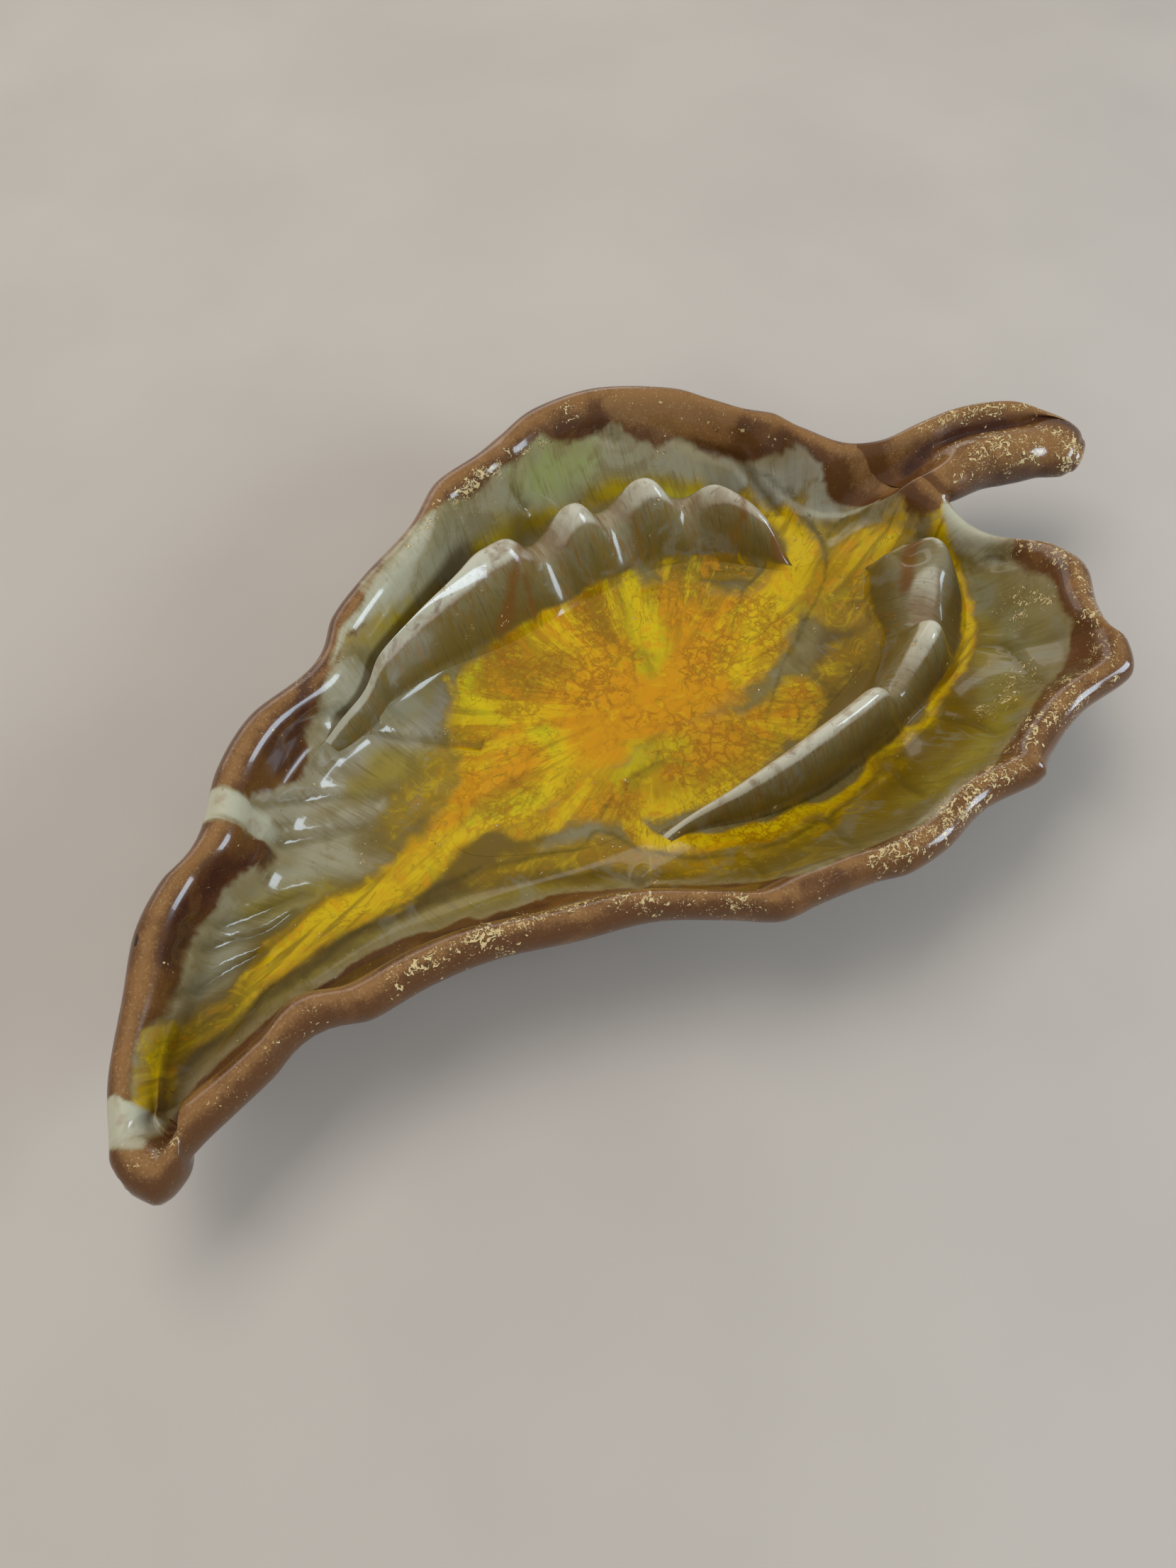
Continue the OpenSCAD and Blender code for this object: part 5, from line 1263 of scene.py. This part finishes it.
def crumbs(g, where, density, spread, wide):
    """Ragged little strands of crystal: (inside, outline). density runs from 0 to 1."""
    off = g.math("ABSOLUTE", g.math("SUBTRACT", g.noise(where, 1 / spread, 2.0, .6, .8), .5))
    broken = g.noise(where, 1.9 / spread, 1.0, .5)
    cluster = g.noise(where, .32 / spread, 2.0, .5)
    room = g.add(g.times(broken, .6), g.times(cluster, .6), g.times(density, .3))
    inside = g.times(g.below(off, wide * .6, wide), g.step(room, .81, .84))
    outline = g.times(g.below(off, wide, wide * 2.4), g.step(room, .78, .84))
    return inside, outline


def glaze(name, look, on_rest=False):
    """Layers of glaze that run into one another, as the vertex attributes place them."""
    material, g = new_material(name)
    add, times, step, below, centred = g.add, g.times, g.step, g.below, g.centred
    where, flow = g.object_place(), g.attribute("flow")
    thin, deep = g.attribute("thin"), g.attribute("bright")
    brown, pale, dark = g.parts(g.attribute("glaze_a"))[:3]
    flake, tan, wine = g.parts(g.attribute("glaze_b"))[:3]
    speck, wet = g.parts(g.attribute("glaze_c"))[:2]
    vein = g.attribute("vein", "Fac")
    runs_down = g.noise(g.vector("MULTIPLY", flow, (1, .09, 1)), 1000, 2.0, .6)
    broad_runs = g.noise(g.vector("MULTIPLY", flow, (1, .15, 1)), 330, 2.0, .5)
    cloud = g.noise(where, 75, 3.0, .55, .6)
    small = g.noise(where, 260, 3.0, .6)
    grain = g.noise(where, 1500, 2.0, .6)
    swirl = g.noise(where, 42, 4.0, .6, 1.6)
    marble = g.noise(where, 110, 4.0, .62, 2.2)

    # Clear bright glaze in the pool against thin milky glaze on the walls
    bright = step(add(wet, centred(marble, .6), centred(runs_down, .25)), .12, .88)
    dull = g.one_less(bright)
    fringe = times(step(add(wet, centred(marble, .9)), .02, .4), dull)
    milky = step(g.parts(thin)[2], .01, .11)
    light_run = times(step(add(broad_runs, centred(runs_down, .5)), .5, .75), dull, milky)
    colour = g.layers(
        thin, ((.17, .1, .002), fringe, .7), (deep, bright),
        ((.33, .27, .13), light_run, .35) if on_rest else ((.36, .32, .2), light_run, .25))
    if on_rest:
        rusty = step(add(broad_runs, centred(runs_down, .8), centred(cloud, .5)), .5, .72)
        colour = g.layers(
            colour, ((.19, .095, .012), rusty, dull, .7),
            ((.1, .062, .02), below(runs_down, .34, .48), dull, .5))
    swirls = add(swirl, centred(runs_down, .3))
    colour = g.layers(
        colour,
        (look.olive, step(runs_down, .5, .75), dull, .2),
        ((.1, .07, .005), below(broad_runs, .3, .48), dull, .2),
        ((.14, .09, .018), step(swirls, .5, .66), dull, .45),
        ((.24, .23, .17), below(swirls, .34, .47), dull, .35))

    # Marbling, with rays out of the middle of the pool, streaks down the leaf and dark threads
    arm = g.vector("MULTIPLY", g.vector("SUBTRACT", where, (.012, 0, 0)), (1, 1, 0))
    far_out = g.vector("LENGTH", arm)
    spokes = g.vector("ADD", g.vector("NORMALIZE", arm), g.xyz(z=times(far_out, 3.2)))
    away = times(step(far_out, .012, .04), below(far_out, .05, .075), bright)
    broad_ray, thin_ray = g.noise(spokes, 6.5, 3.0, .6, .5), g.noise(spokes, 19, 3.0, .62, .8)
    aslant = g.xyz(times(g.vector("DOT_PRODUCT", where, (.97, .24, 0)), .1),
                   g.vector("DOT_PRODUCT", where, (-.24, .97, 0)))
    stream = g.noise(aslant, 330, 3.0, .6, .4)
    down_leaf = times(step(far_out, .06, .085), bright)
    thread = below(g.math("ABSOLUTE", centred(thin_ray, 1.0)), .0, .03)
    ring = below(g.math("ABSOLUTE", centred(g.noise(where, 60, 3.0, .55, 2.6), 1.0)), .0, .022)
    colour = g.layers(
        colour,
        (look.yellow, step(marble, .52, .66), bright, .5),
        (look.amber, below(marble, .36, .47), bright, .55),
        ((.64, .46, .001), step(add(broad_ray, centred(thin_ray, .4)), .53, .64), away, .6),
        ((.27, .14, .002), below(add(broad_ray, centred(thin_ray, .5)), .34, .46), away, .6),
        ((.6, .42, .001), step(stream, .52, .68), down_leaf, .6),
        ((.2, .12, .002), below(stream, .36, .5), down_leaf, .7),
        ((.12, .075, .002), thread, away, step(marble, .42, .6), .6),
        ((.2, .14, .002), ring, step(cloud, .42, .6), step(wet, .15, .5), .55),
        (look.green, step(add(swirl, centred(small, .2)), .6, .72), bright, .4))

    # Fine cracks filled with brown, speckles, dark lines where two glazes meet, and the veins
    shake = g.noise(where, 200, 4.0, .65).node.outputs["Color"]
    bent = g.vector("ADD", where, g.vector("SCALE", shake, scale=.011))
    craze = g.new("ShaderNodeTexVoronoi", {"Vector": bent, "Scale": 210}, feature="DISTANCE_TO_EDGE")
    patchy = step(add(g.noise(where, 55, 2.0), centred(small, .3)), .4, .62)
    crack = times(below(craze.outputs["Distance"], .0, .2), patchy, bright, below(far_out, .05, .1))
    colour = g.layers(
        colour,
        ((.27, .1, .001), crack, .65),
        ((.34, .13, .002), step(small, .56, .72), bright, .35),
        (look.shadow, step(add(dark, centred(marble, .8), centred(small, .7)), .25, 1.0), .62),
        ((.11, .075, .01), step(add(vein, centred(small, .3)), .3, 1.05), .5))

    # Pale glaze, with rust where it ends
    edge = add(pale, centred(runs_down, .4), centred(small, .5))
    white = step(edge, .25, .95)
    stained = step(add(cloud, centred(small, .5)), .52, .68)
    if on_rest:
        colour = g.layers(colour, ((.2, .1, .045), step(edge, .15, .45), step(cloud, .4, .62), .6))
    colour = g.layers(
        colour, (look.cream if on_rest else (.44, .42, .3), white), ((.33, .24, .15), stained, white, .6))
    if on_rest:
        colour = g.layers(colour, ((.2, .12, .09), step(marble, .56, .68), white, .6))

    # Brown glaze with a ragged edge: tan where it thins on its crests, with a painted highlight along them;
    # dark where it lies thick in its hollows, and painted shade down the stem's near side and underside
    reach = times(add(brown, centred(swirl, 3.0), centred(broad_runs, .7),
                      centred(runs_down, .3), centred(small, 1.3)), .2)
    # Tan where the glaze thins on a crest, together with the painted highlight along the crests
    tan_and_highlight_mask = step(add(tan, centred(grain, .5), centred(small, .8), centred(cloud, 1.0)), .1, .9)
    # Wine where the glaze lies thick, and painted shade down the stem's near side and underside
    depth = step(add(wine, centred(cloud, 1.2), centred(small, .5)), .2, .9)
    glossy = g.layers(
        look.brown, (look.tan, tan_and_highlight_mask), (look.wine, depth, .85),
        ((.2, .085, .02), step(cloud, .5, .68), .4),
        ((.42, .28, .12), step(grain, .58, .7), .3, add(.3, tan_and_highlight_mask)))
    if on_rest:
        glossy = g.layers(glossy, ((.2, .085, .012), .6))
        covered = times(step(reach, -.25, .2), .88)
    else:
        lip = times(step(reach, -.7, -.1), g.one_less(white), step(small, .3, .6))
        colour = g.layers(colour, ((.3, .23, .12), lip, .5))
        covered = times(step(reach, -.13, .13), g.one_less(step(edge, .25, .7)))

    # Crystals and black specks
    inside, outline = crumbs(g, where, flake, .0028, .05)
    tiny = crumbs(g, g.vector("ADD", where, (.31, .17, .05)), times(flake, .9), .0012, .06)[0]
    black = times(step(add(small, times(speck, .25)), .84, .9), speck)
    colour = g.layers(
        colour, (glossy, covered), ((.055, .03, .014), outline, .65), (look.flake, inside),
        (look.flake, tiny, .8), ((.02, .014, .01), black))

    wave = g.noise(where, 120, 2.0, .5)
    relief = add(wave, times(inside, .3), times(grain, .04), times(covered, .5))
    skin = g.new("ShaderNodeBump", {"Strength": .3, "Distance": .0004, "Height": relief})
    g.surface({
        "Base Color": colour, "Roughness": add(times(inside, .2), .12, times(cloud, .12)),
        "Normal": skin.outputs[0], "Specular IOR Level": .25, "Coat Weight": .35, "Coat Roughness": .03})
    return material


def bare_clay(look):
    material, g = new_material("Bare clay")
    where = g.object_place()
    grog, cloud = g.noise(where, 900, 4.0, .7), g.noise(where, 60, 3.0)
    colour = g.layers(
        look.clay, ((.33, .22, .14), g.step(grog, .4, .7)), ((.55, .43, .31), g.step(cloud, .45, .7), .5))
    bump = g.new("ShaderNodeBump", {"Strength": .6, "Distance": .0003, "Height": grog})
    g.surface({"Base Color": colour, "Roughness": g.add(.75, g.times(cloud, .15)), "Normal": bump.outputs[0]})
    return material


# The leaf, the dish's middle and the finishes, once they are made
made = {}


def dish():
    """The leaf's net and the finishes, made once for all the pieces."""
    if not made:
        scene = bpy.context.scene
        leaf = Leaf(scene.leaf_sizes)
        joined = Joined(leaf)
        low, high = joined.points.min(0), joined.points.max(0)
        look = scene.glaze_colours
        made.update(
            leaf=leaf, joined=joined, shift=(low + high) / 2 * (1, 1, 0),
            brown=glaze("Brown rim glaze", look), pale=glaze("Cream rest glaze", look, True),
            pool=glaze("Amber pool glaze", look), clay=bare_clay(look))
    return made


# The stem's own stretch of the flow and the way round it, in mm, and the place of the hidden seat
STEM_FLOW, STEM_ROUND, HIDDEN_TURN = 400, 70, 18
# How much tan, wine and flakes the stem has at each place round its section. The tan on the crests
# of its rolls is also a painted highlight; the wine is thick glaze in its groove and painted shade
# down its near side and underside
STEM_TAN_AND_HIGHLIGHT = [(0, .3), (2, .9), (2.8, .8), (4, .25), (5, 0), (6, .3), (8, .85), (9.4, .5), (11, .1), (13, 0),
            (23, 0), (26, .3)]
STEM_WINE_AND_SHADE = [(3.4, 0), (4.4, .9), (5.2, 1), (6, 0), (9.5, 0), (10.5, .5), (13, .8), (15, .4), (21, .4),
             (23, .3), (25, 0)]
STEM_FLAKES = [(1, .4), (3, .6), (4.3, .2), (5.6, .1), (6.4, .5), (9.5, .58), (11, .3)]


class DISH_OT_leaf(bpy.types.Operator):
    """Make the leaf's bowl and its twisted stem, which are glazed over as one skin"""
    bl_idname = "leaf_dish.leaf"
    bl_label = "Leaf and stem"

    def execute(self, context):
        parts = dish()
        leaf, joined = parts["leaf"], parts["joined"]
        size = context.scene.leaf_sizes
        points = shifted(joined.points)
        count = joined.leaf_count
        share = joined.spread(np.repeat(leaf.share[:, None], leaf.rows, 1))
        across = joined.spread(leaf.across)
        row = joined.spread(np.tile(np.arange(leaf.rows), (leaf.n, 1)))
        angle = np.interp(row, leaf.roll_row + np.arange(len(ROLL_ANGLES)), ROLL_ANGLES)
        top = np.where(row < leaf.roll_row, 1, np.where(row >= leaf.low_row, 0, ease((angle + 40) / 30)))
        on_roll = (row >= leaf.roll_row - 3) & (row < leaf.low_row)
        # Tan along the top of the roll, where the glaze thins, and a painted highlight along its crest
        crest = np.where(on_roll, .75 * np.exp(-((angle - 92) / 34) ** 2), 0)
        wall = 1 - ease((row - (leaf.roll_row - 4)) / 4)
        own = glaze_places(leaf, points[:count], leaf_flow(leaf, share, across), top, crest)
        bowl = mesh_object(
            "leaf_bowl_glazed", clipped(points[:count]), joined.faces + joined.seat, {"wall": wall}, own)
        lines = self.vein_lines(points[:count], row < leaf.roll_row)
        bake(bowl, vein_tree(), Depth=size.vein_depth, Width=size.vein_width, Lines=lines,
             Material=parts["brown"])
        bpy.data.objects.remove(lines)
        final = np.zeros(count * 3, np.float32)
        bowl.data.vertices.foreach_get("co", final)
        points[:count] = final.reshape(-1, 3) / MM

        used = sorted({v for f in joined.stem_faces + joined.seat for v in f})
        index = {v: k for k, v in enumerate(used)}
        faces = [[index[v] for v in f] for f in joined.stem_faces]
        faces += [[index[v] for v in reversed(f)] for f in joined.seat]
        stem_points = points[used]
        ring, place = (np.array(v) for v in zip(*(divmod(max(v - count, 0), len(joined.turn)) for v in used)))
        along = joined.ring_run[np.minimum(ring, joined.rings - 1)]
        turn = np.where(np.array(used) < count, HIDDEN_TURN, joined.turn[place])
        for k, v in enumerate(joined.rim):
            turn[index[v]] = joined.turn[k]
        around = np.abs(np.mod(turn / len(STEM_SECTION) + .5, 1) - .5) * STEM_ROUND
        flow = np.column_stack([along + STEM_FLOW, around, 0 * along])
        flakes = table(STEM_FLAKES, turn) * ease((along - 5) / 14)
        # The stem's tan on its crests is partly a painted highlight; its wine down the near side and
        # underside is painted shade
        tan, wine = table(STEM_TAN_AND_HIGHLIGHT, turn) * ease(along / 6), table(STEM_WINE_AND_SHADE, turn) * ease((along - 1) / 5)
        own = glaze_places(leaf, stem_points, flow, np.zeros(len(used)))
        own["glaze_a"][:, 0] = ALL_BROWN
        own["glaze_b"] = np.column_stack([flakes, tan, wine])
        stem = mesh_object("stem_glazed", clipped(stem_points), faces, {}, own)
        stem.data.materials.append(parts["brown"])

        everything = vertex_normals(points, joined.faces + joined.stem_faces)
        inner = np.linalg.norm(everything, axis=1) < .5
        everything[inner] = (0, 0, 1)
        bowl.data.normals_split_custom_set_from_vertices(everything[:count].tolist())
        stem.data.normals_split_custom_set_from_vertices(everything[used].tolist())
        for thing, node in ((bowl, "leaf_bowl"), (stem, "stem")):
            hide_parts(node)
            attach(thing, "root")
        return {"FINISHED"}

    def vein_lines(self, points, upper):
        """The veins as lines on the leaf's upper side."""
        above = points[upper]
        places, edges = [], []
        for line in VEINS:
            curve = curve_through(line, 6, False)[:, :2]
            start = len(places)
            for x, y in curve:
                near = above[np.argmin((above[:, 0] - x) ** 2 + (above[:, 1] - y) ** 2)]
                places.append((x * MM, y * MM, near[2] * MM))
            edges += [(k, k + 1) for k in range(start, len(places) - 1)]
        return in_scene("vein_lines", plain_mesh("vein_lines", places, edges, []))


# The blur takes up some of each notch, so it is cut wider in m, and deeper by a share
NOTCH_WIDER, NOTCH_DEEPER = .0007, 1.12
# Colours up a rest's side: a share of its height, then red, green and blue
REST_FACE = [(0, .095, .055, .005), (.25, .13, .088, .018), (.55, .155, .12, .04), (.85, .22, .18, .085),
             (1, .34, .28, .17)]


class DISH_OT_rests(bpy.types.Operator):
    """Make the two notched rests"""
    bl_idname = "leaf_dish.rests"
    bl_label = "Rests"

    def execute(self, context):
        parts = dish()
        leaf, size = parts["leaf"], context.scene.leaf_sizes
        tree = notch_tree()

        def left_profile(q, share):
            return smooth_table(LEFT_PROFILE, q)

        def right_profile(q, share):
            hook = lerp(smooth_table(ROUND_PROFILE, q), smooth_table(HOOK_PROFILE, q), ease(share / .05))
            return lerp(hook, smooth_table(RIGHT_PROFILE, q), ease(share / .17))
        flat = (size.notch_width - size.notch_run) / 2
        left = {"Count": 3, "Pitch": size.left_pitch, "Before": size.notch_run, "After": size.notch_run}
        right = {"Count": 2, "Pitch": size.right_pitch, "Before": size.long_run, "After": size.notch_run / 2}
        # Names, rays, pads at the ends in rays and mm, the crest's share of the seat, and tables
        for name, node, rays, pads, crest, lean, top, height, profile, notches in (
                ("left_rest_glazed", "left_rest", leaf.left, ((8, 9.0), (3, 2.6)), .6, LEFT_LEAN, LEFT_TOP,
                 size.left_rest, left_profile, left),
                ("right_rest_glazed", "right_rest", leaf.right, ((3, 2.4), (4, 4.5)), .5, None, RIGHT_TOP,
                 size.right_rest, right_profile, right)):
            points, faces, floats, flow, crests, total = rest_piece(
                leaf, rays, pads, crest, lean, top, mm(height), profile)
            first = size.right_first if notches is right else total - size.left_first - 2 * size.left_pitch
            own = glaze_places(leaf, points, flow, np.ones(len(points)), drips=True)
            thing = mesh_object(name, clipped(points), faces, floats, own)
            bake(thing, tree, First=first, Flat=flat + NOTCH_WIDER, Depth=size.notch_depth * NOTCH_DEEPER,
                 Material=parts["pale"], **notches)
            self.paint(thing, crests)
            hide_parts(node)
            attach(thing, "root")
        return {"FINISHED"}

    def paint(self, thing, crest):
        """Cream on the crests, grey and olive down the faces."""
        data = thing.data
        count = len(data.vertices)
        got = {}
        for key in ("thin", "glaze_a", "glaze_b", "glaze_c"):
            flat = np.zeros(count * 3, np.float32)
            data.attributes[key].data.foreach_get("vector", flat)
            got[key] = flat.reshape(-1, 3)
        cut = np.zeros(count, np.float32)
        data.attributes["cut"].data.foreach_get("value", cut)
        share, *parts = zip(*REST_FACE)
        face = np.column_stack([np.interp(crest, share, part) for part in parts])
        got["thin"][:] = lerp(got["thin"], face, ease((crest - .08) / .16)[:, None])
        got["glaze_c"][:, 1] *= 1 - ease((crest - .1) / .14)
        got["glaze_a"][:, 1] = ease((crest - .8) / .16) * (1 - .7 * cut)
        got["glaze_a"][:, 2] *= 1 - ease(crest / .2)
        for key, flat in got.items():
            data.attributes[key].data.foreach_set("vector", flat.ravel())


# The pool's middle in plan, the rings round it, and the least depth at which the leaf is wet, in mm
POOL_MIDDLE, POOL_RINGS, LEAST_DEPTH = (12, 1), 80, .02
# How far the glass goes over its shore and into the floor, and how high its rim curls up, in mm
POOL_OVER, POOL_BITE, POOL_CURL = .9, .5, .22
# Share of the way out at which the curl begins, and how long it goes on
CURL_START, CURL_SHARE = .955, .045


class DISH_OT_pool(bpy.types.Operator):
    """Make the pool of glass glaze on the basin's floor, level on top"""
    bl_idname = "leaf_dish.pool"
    bl_label = "Glaze pool"

    def execute(self, context):
        parts = dish()
        leaf = parts["leaf"]
        level = leaf.floor + mm(context.scene.leaf_sizes.pool_depth)
        depth = level - leaf.start[:, 2]
        wet = depth > LEAST_DEPTH
        share = np.sqrt(np.clip(depth, 0, None) / (leaf.basin_z - leaf.start[:, 2]))
        share = np.clip(share, 0, 1) * leaf.basin_t
        shore = (leaf.start[:, :2] + leaf.way * (share * leaf.reach)[:, None])[wet]
        out = shore - POOL_MIDDLE
        out /= np.hypot(*out.T)[:, None]
        shore = shore + out * POOL_OVER
        m = len(shore)
        scale = np.sin(np.linspace(0, np.pi / 2, POOL_RINGS + 1))[1:]
        rings = POOL_MIDDLE + (shore - POOL_MIDDLE)[None] * scale[:, None, None]
        height = level + POOL_CURL * ease((scale - CURL_START) / CURL_SHARE)
        top = np.concatenate([rings, np.broadcast_to(height[:, None, None], rings.shape[:2] + (1,))], -1)
        low = np.array(top[-1])
        low[:, 2] = bottom = leaf.floor - POOL_BITE
        points = np.vstack([[[*POOL_MIDDLE, level]], top.reshape(-1, 3), low, [[*POOL_MIDDLE, bottom]]])
        last = len(points) - 1

        def at(r, k):
            return 1 + r * m + k % m
        faces = [[at(0, k + 1), at(0, k), 0] for k in range(m)] + sleeve(at, POOL_RINGS, m, last)
        points = shifted(points)
        flow = points * (1, 1, 0)
        own = glaze_places(leaf, points, flow, np.ones(len(points)))
        own["glaze_a"][:, 0] = np.minimum(own["glaze_a"][:, 0], NO_BROWN)
        pool = mesh_object("glaze_pool_glass", clipped(points), faces, {}, own)
        pool.data.materials.append(parts["pool"])
        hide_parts("glaze_pool")
        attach(pool, "root")
        return {"FINISHED"}


# The foot ring goes this far into the leaf, in mm, and its corners have this radius, in m
FOOT_BITE, FOOT_ROUNDING = .6, .0012


class DISH_OT_foot(bpy.types.Operator):
    """Make the ring of bare clay that the dish stands on"""
    bl_idname = "leaf_dish.foot"
    bl_label = "Foot ring"

    def execute(self, context):
        parts = dish()
        leaf, size = parts["leaf"], context.scene.leaf_sizes
        line = curve_through(np.array(FOOT) * (leaf.l / 2, leaf.w / 2), 8, True)
        way = np.roll(line, -1, 0) - np.roll(line, 1, 0)
        way /= np.hypot(*way.T)[:, None]
        inward = np.column_stack([way[:, 1], -way[:, 0]])
        height = mm(size.foot_height) + FOOT_BITE
        path = line + inward * mm(size.foot_width) / 2
        path = shifted(np.column_stack([path, np.full(len(path), height / 2)])) * MM
        n = len(path)
        ring = plain_mesh("foot_ring_clay", path.tolist(), [(k, (k + 1) % n) for k in range(n)], [])
        foot = in_scene("foot_ring_clay", ring)
        bake(foot, foot_tree(), Width=size.foot_width, Height=height * MM, Rounding=FOOT_ROUNDING,
             Material=parts["clay"])
        foot.data.shade_smooth()
        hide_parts("foot_ring")
        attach(foot, "root")
        return {"FINISHED"}


# The floor's corners and half its width, in m
SQUARE, FLOOR_HALF = ((-1, -1), (1, -1), (1, 1), (-1, 1)), 3
SKY_COLOUR, SKY_STRENGTH = (.96, .98, 1, 1), .34
# Lamps: name, place and size in m, power, colour, and whether they show in the glaze
LAMPS = [
    ("Overhead softbox", (-.15, .5, 1.45), (1.2, .8), 12.5, (1, .98, .95), False),
    ("Far glow", (.3, 1.6, .6), (2.2, .7), 6.5, (1, .99, .97), True),
    ("Window", (.75, -.85, .5), (.42, .5), 9, (.72, .86, 1), True),
    ("Side fill", (-1.1, -.5, .9), (.7, .7), 3, (1, .97, .93), False)]
# The camera's place and what it looks at, its lens and sensor in mm, and the range that it sees in m
CAMERA_PLACE, CAMERA_TARGET = (-.12317, -.14453, .30744), (-.01561, -.00334, 0)
LENS, SENSOR, NEAR, FAR = 27.08, 36, .01, 20


class DISH_OT_stage(bpy.types.Operator):
    """Make the pale floor, the soft lights and the camera"""
    bl_idname = "leaf_dish.stage"
    bl_label = "Stage"

    def execute(self, context):
        scene = context.scene
        material, g = new_material("Pale floor")
        cloud = g.step(g.noise(g.object_place(), 9, 3.0), .3, .7)
        colour = g.blend(cloud, scene.glaze_colours.floor, (.455, .41, .362))
        g.surface({"Base Color": colour, "Roughness": .85})
        corners = [(x * FLOOR_HALF, y * FLOOR_HALF, 0) for x, y in SQUARE]
        floor = in_scene("floor", plain_mesh("floor", corners, [], [(0, 1, 2, 3)]))
        floor.data.materials.append(material)

        world = bpy.data.worlds.new("Soft sky")
        world.use_nodes = True
        sky = world.node_tree.nodes["Background"]
        sky.inputs["Color"].default_value = SKY_COLOUR
        sky.inputs["Strength"].default_value = SKY_STRENGTH
        scene.world = world
        for name, place, size, power, tint, shows in LAMPS:
            lamp = bpy.data.lights.new(name, "AREA")
            lamp.shape, lamp.size, lamp.size_y = "RECTANGLE", *size
            lamp.energy, lamp.color = power, tint
            light = in_scene(name, lamp)
            light.location = place
            light.visible_glossy = shows
            light.rotation_euler = (-Vector(place)).to_track_quat("-Z", "Y").to_euler()

        lens = bpy.data.cameras.new("Camera")
        lens.lens, lens.sensor_width, lens.sensor_fit = LENS, SENSOR, "AUTO"
        lens.clip_start, lens.clip_end = NEAR, FAR
        camera = in_scene("Camera", lens)
        camera.location = CAMERA_PLACE
        way = Vector(CAMERA_TARGET) - Vector(CAMERA_PLACE)
        camera.rotation_euler = way.to_track_quat("-Z", "Y").to_euler()
        scene.camera = camera
        scene.view_settings.view_transform = "Standard"
        return {"FINISHED"}


class DISH_PT_panel(bpy.types.Panel):
    """The dish's pieces, sizes and colours"""
    bl_idname = "DISH_PT_panel"
    bl_label = "Leaf dish"
    bl_space_type = "VIEW_3D"
    bl_region_type = "UI"
    bl_category = "Leaf dish"

    def draw(self, context):
        for kind in OPERATORS:
            self.layout.operator(kind.bl_idname)
        for group in (context.scene.leaf_sizes, context.scene.glaze_colours):
            column = self.layout.column(align=True)
            for key in group.bl_rna.properties.keys():
                if key not in ("rna_type", "name"):
                    column.prop(group, key)


OPERATORS = (DISH_OT_leaf, DISH_OT_rests, DISH_OT_pool, DISH_OT_foot, DISH_OT_stage)
CLASSES = (LeafSizes, GlazeColours, *OPERATORS, DISH_PT_panel)


def register():
    for kind in CLASSES:
        bpy.utils.register_class(kind)
    bpy.types.Scene.leaf_sizes = bpy.props.PointerProperty(type=LeafSizes)
    bpy.types.Scene.glaze_colours = bpy.props.PointerProperty(type=GlazeColours)


def unregister():
    del bpy.types.Scene.leaf_sizes, bpy.types.Scene.glaze_colours
    for kind in reversed(CLASSES):
        bpy.utils.unregister_class(kind)


def main():
    register()
    for kind in OPERATORS:
        group, name = kind.bl_idname.split(".")
        getattr(getattr(bpy.ops, group), name)()


if __name__ == "__main__":
    main()
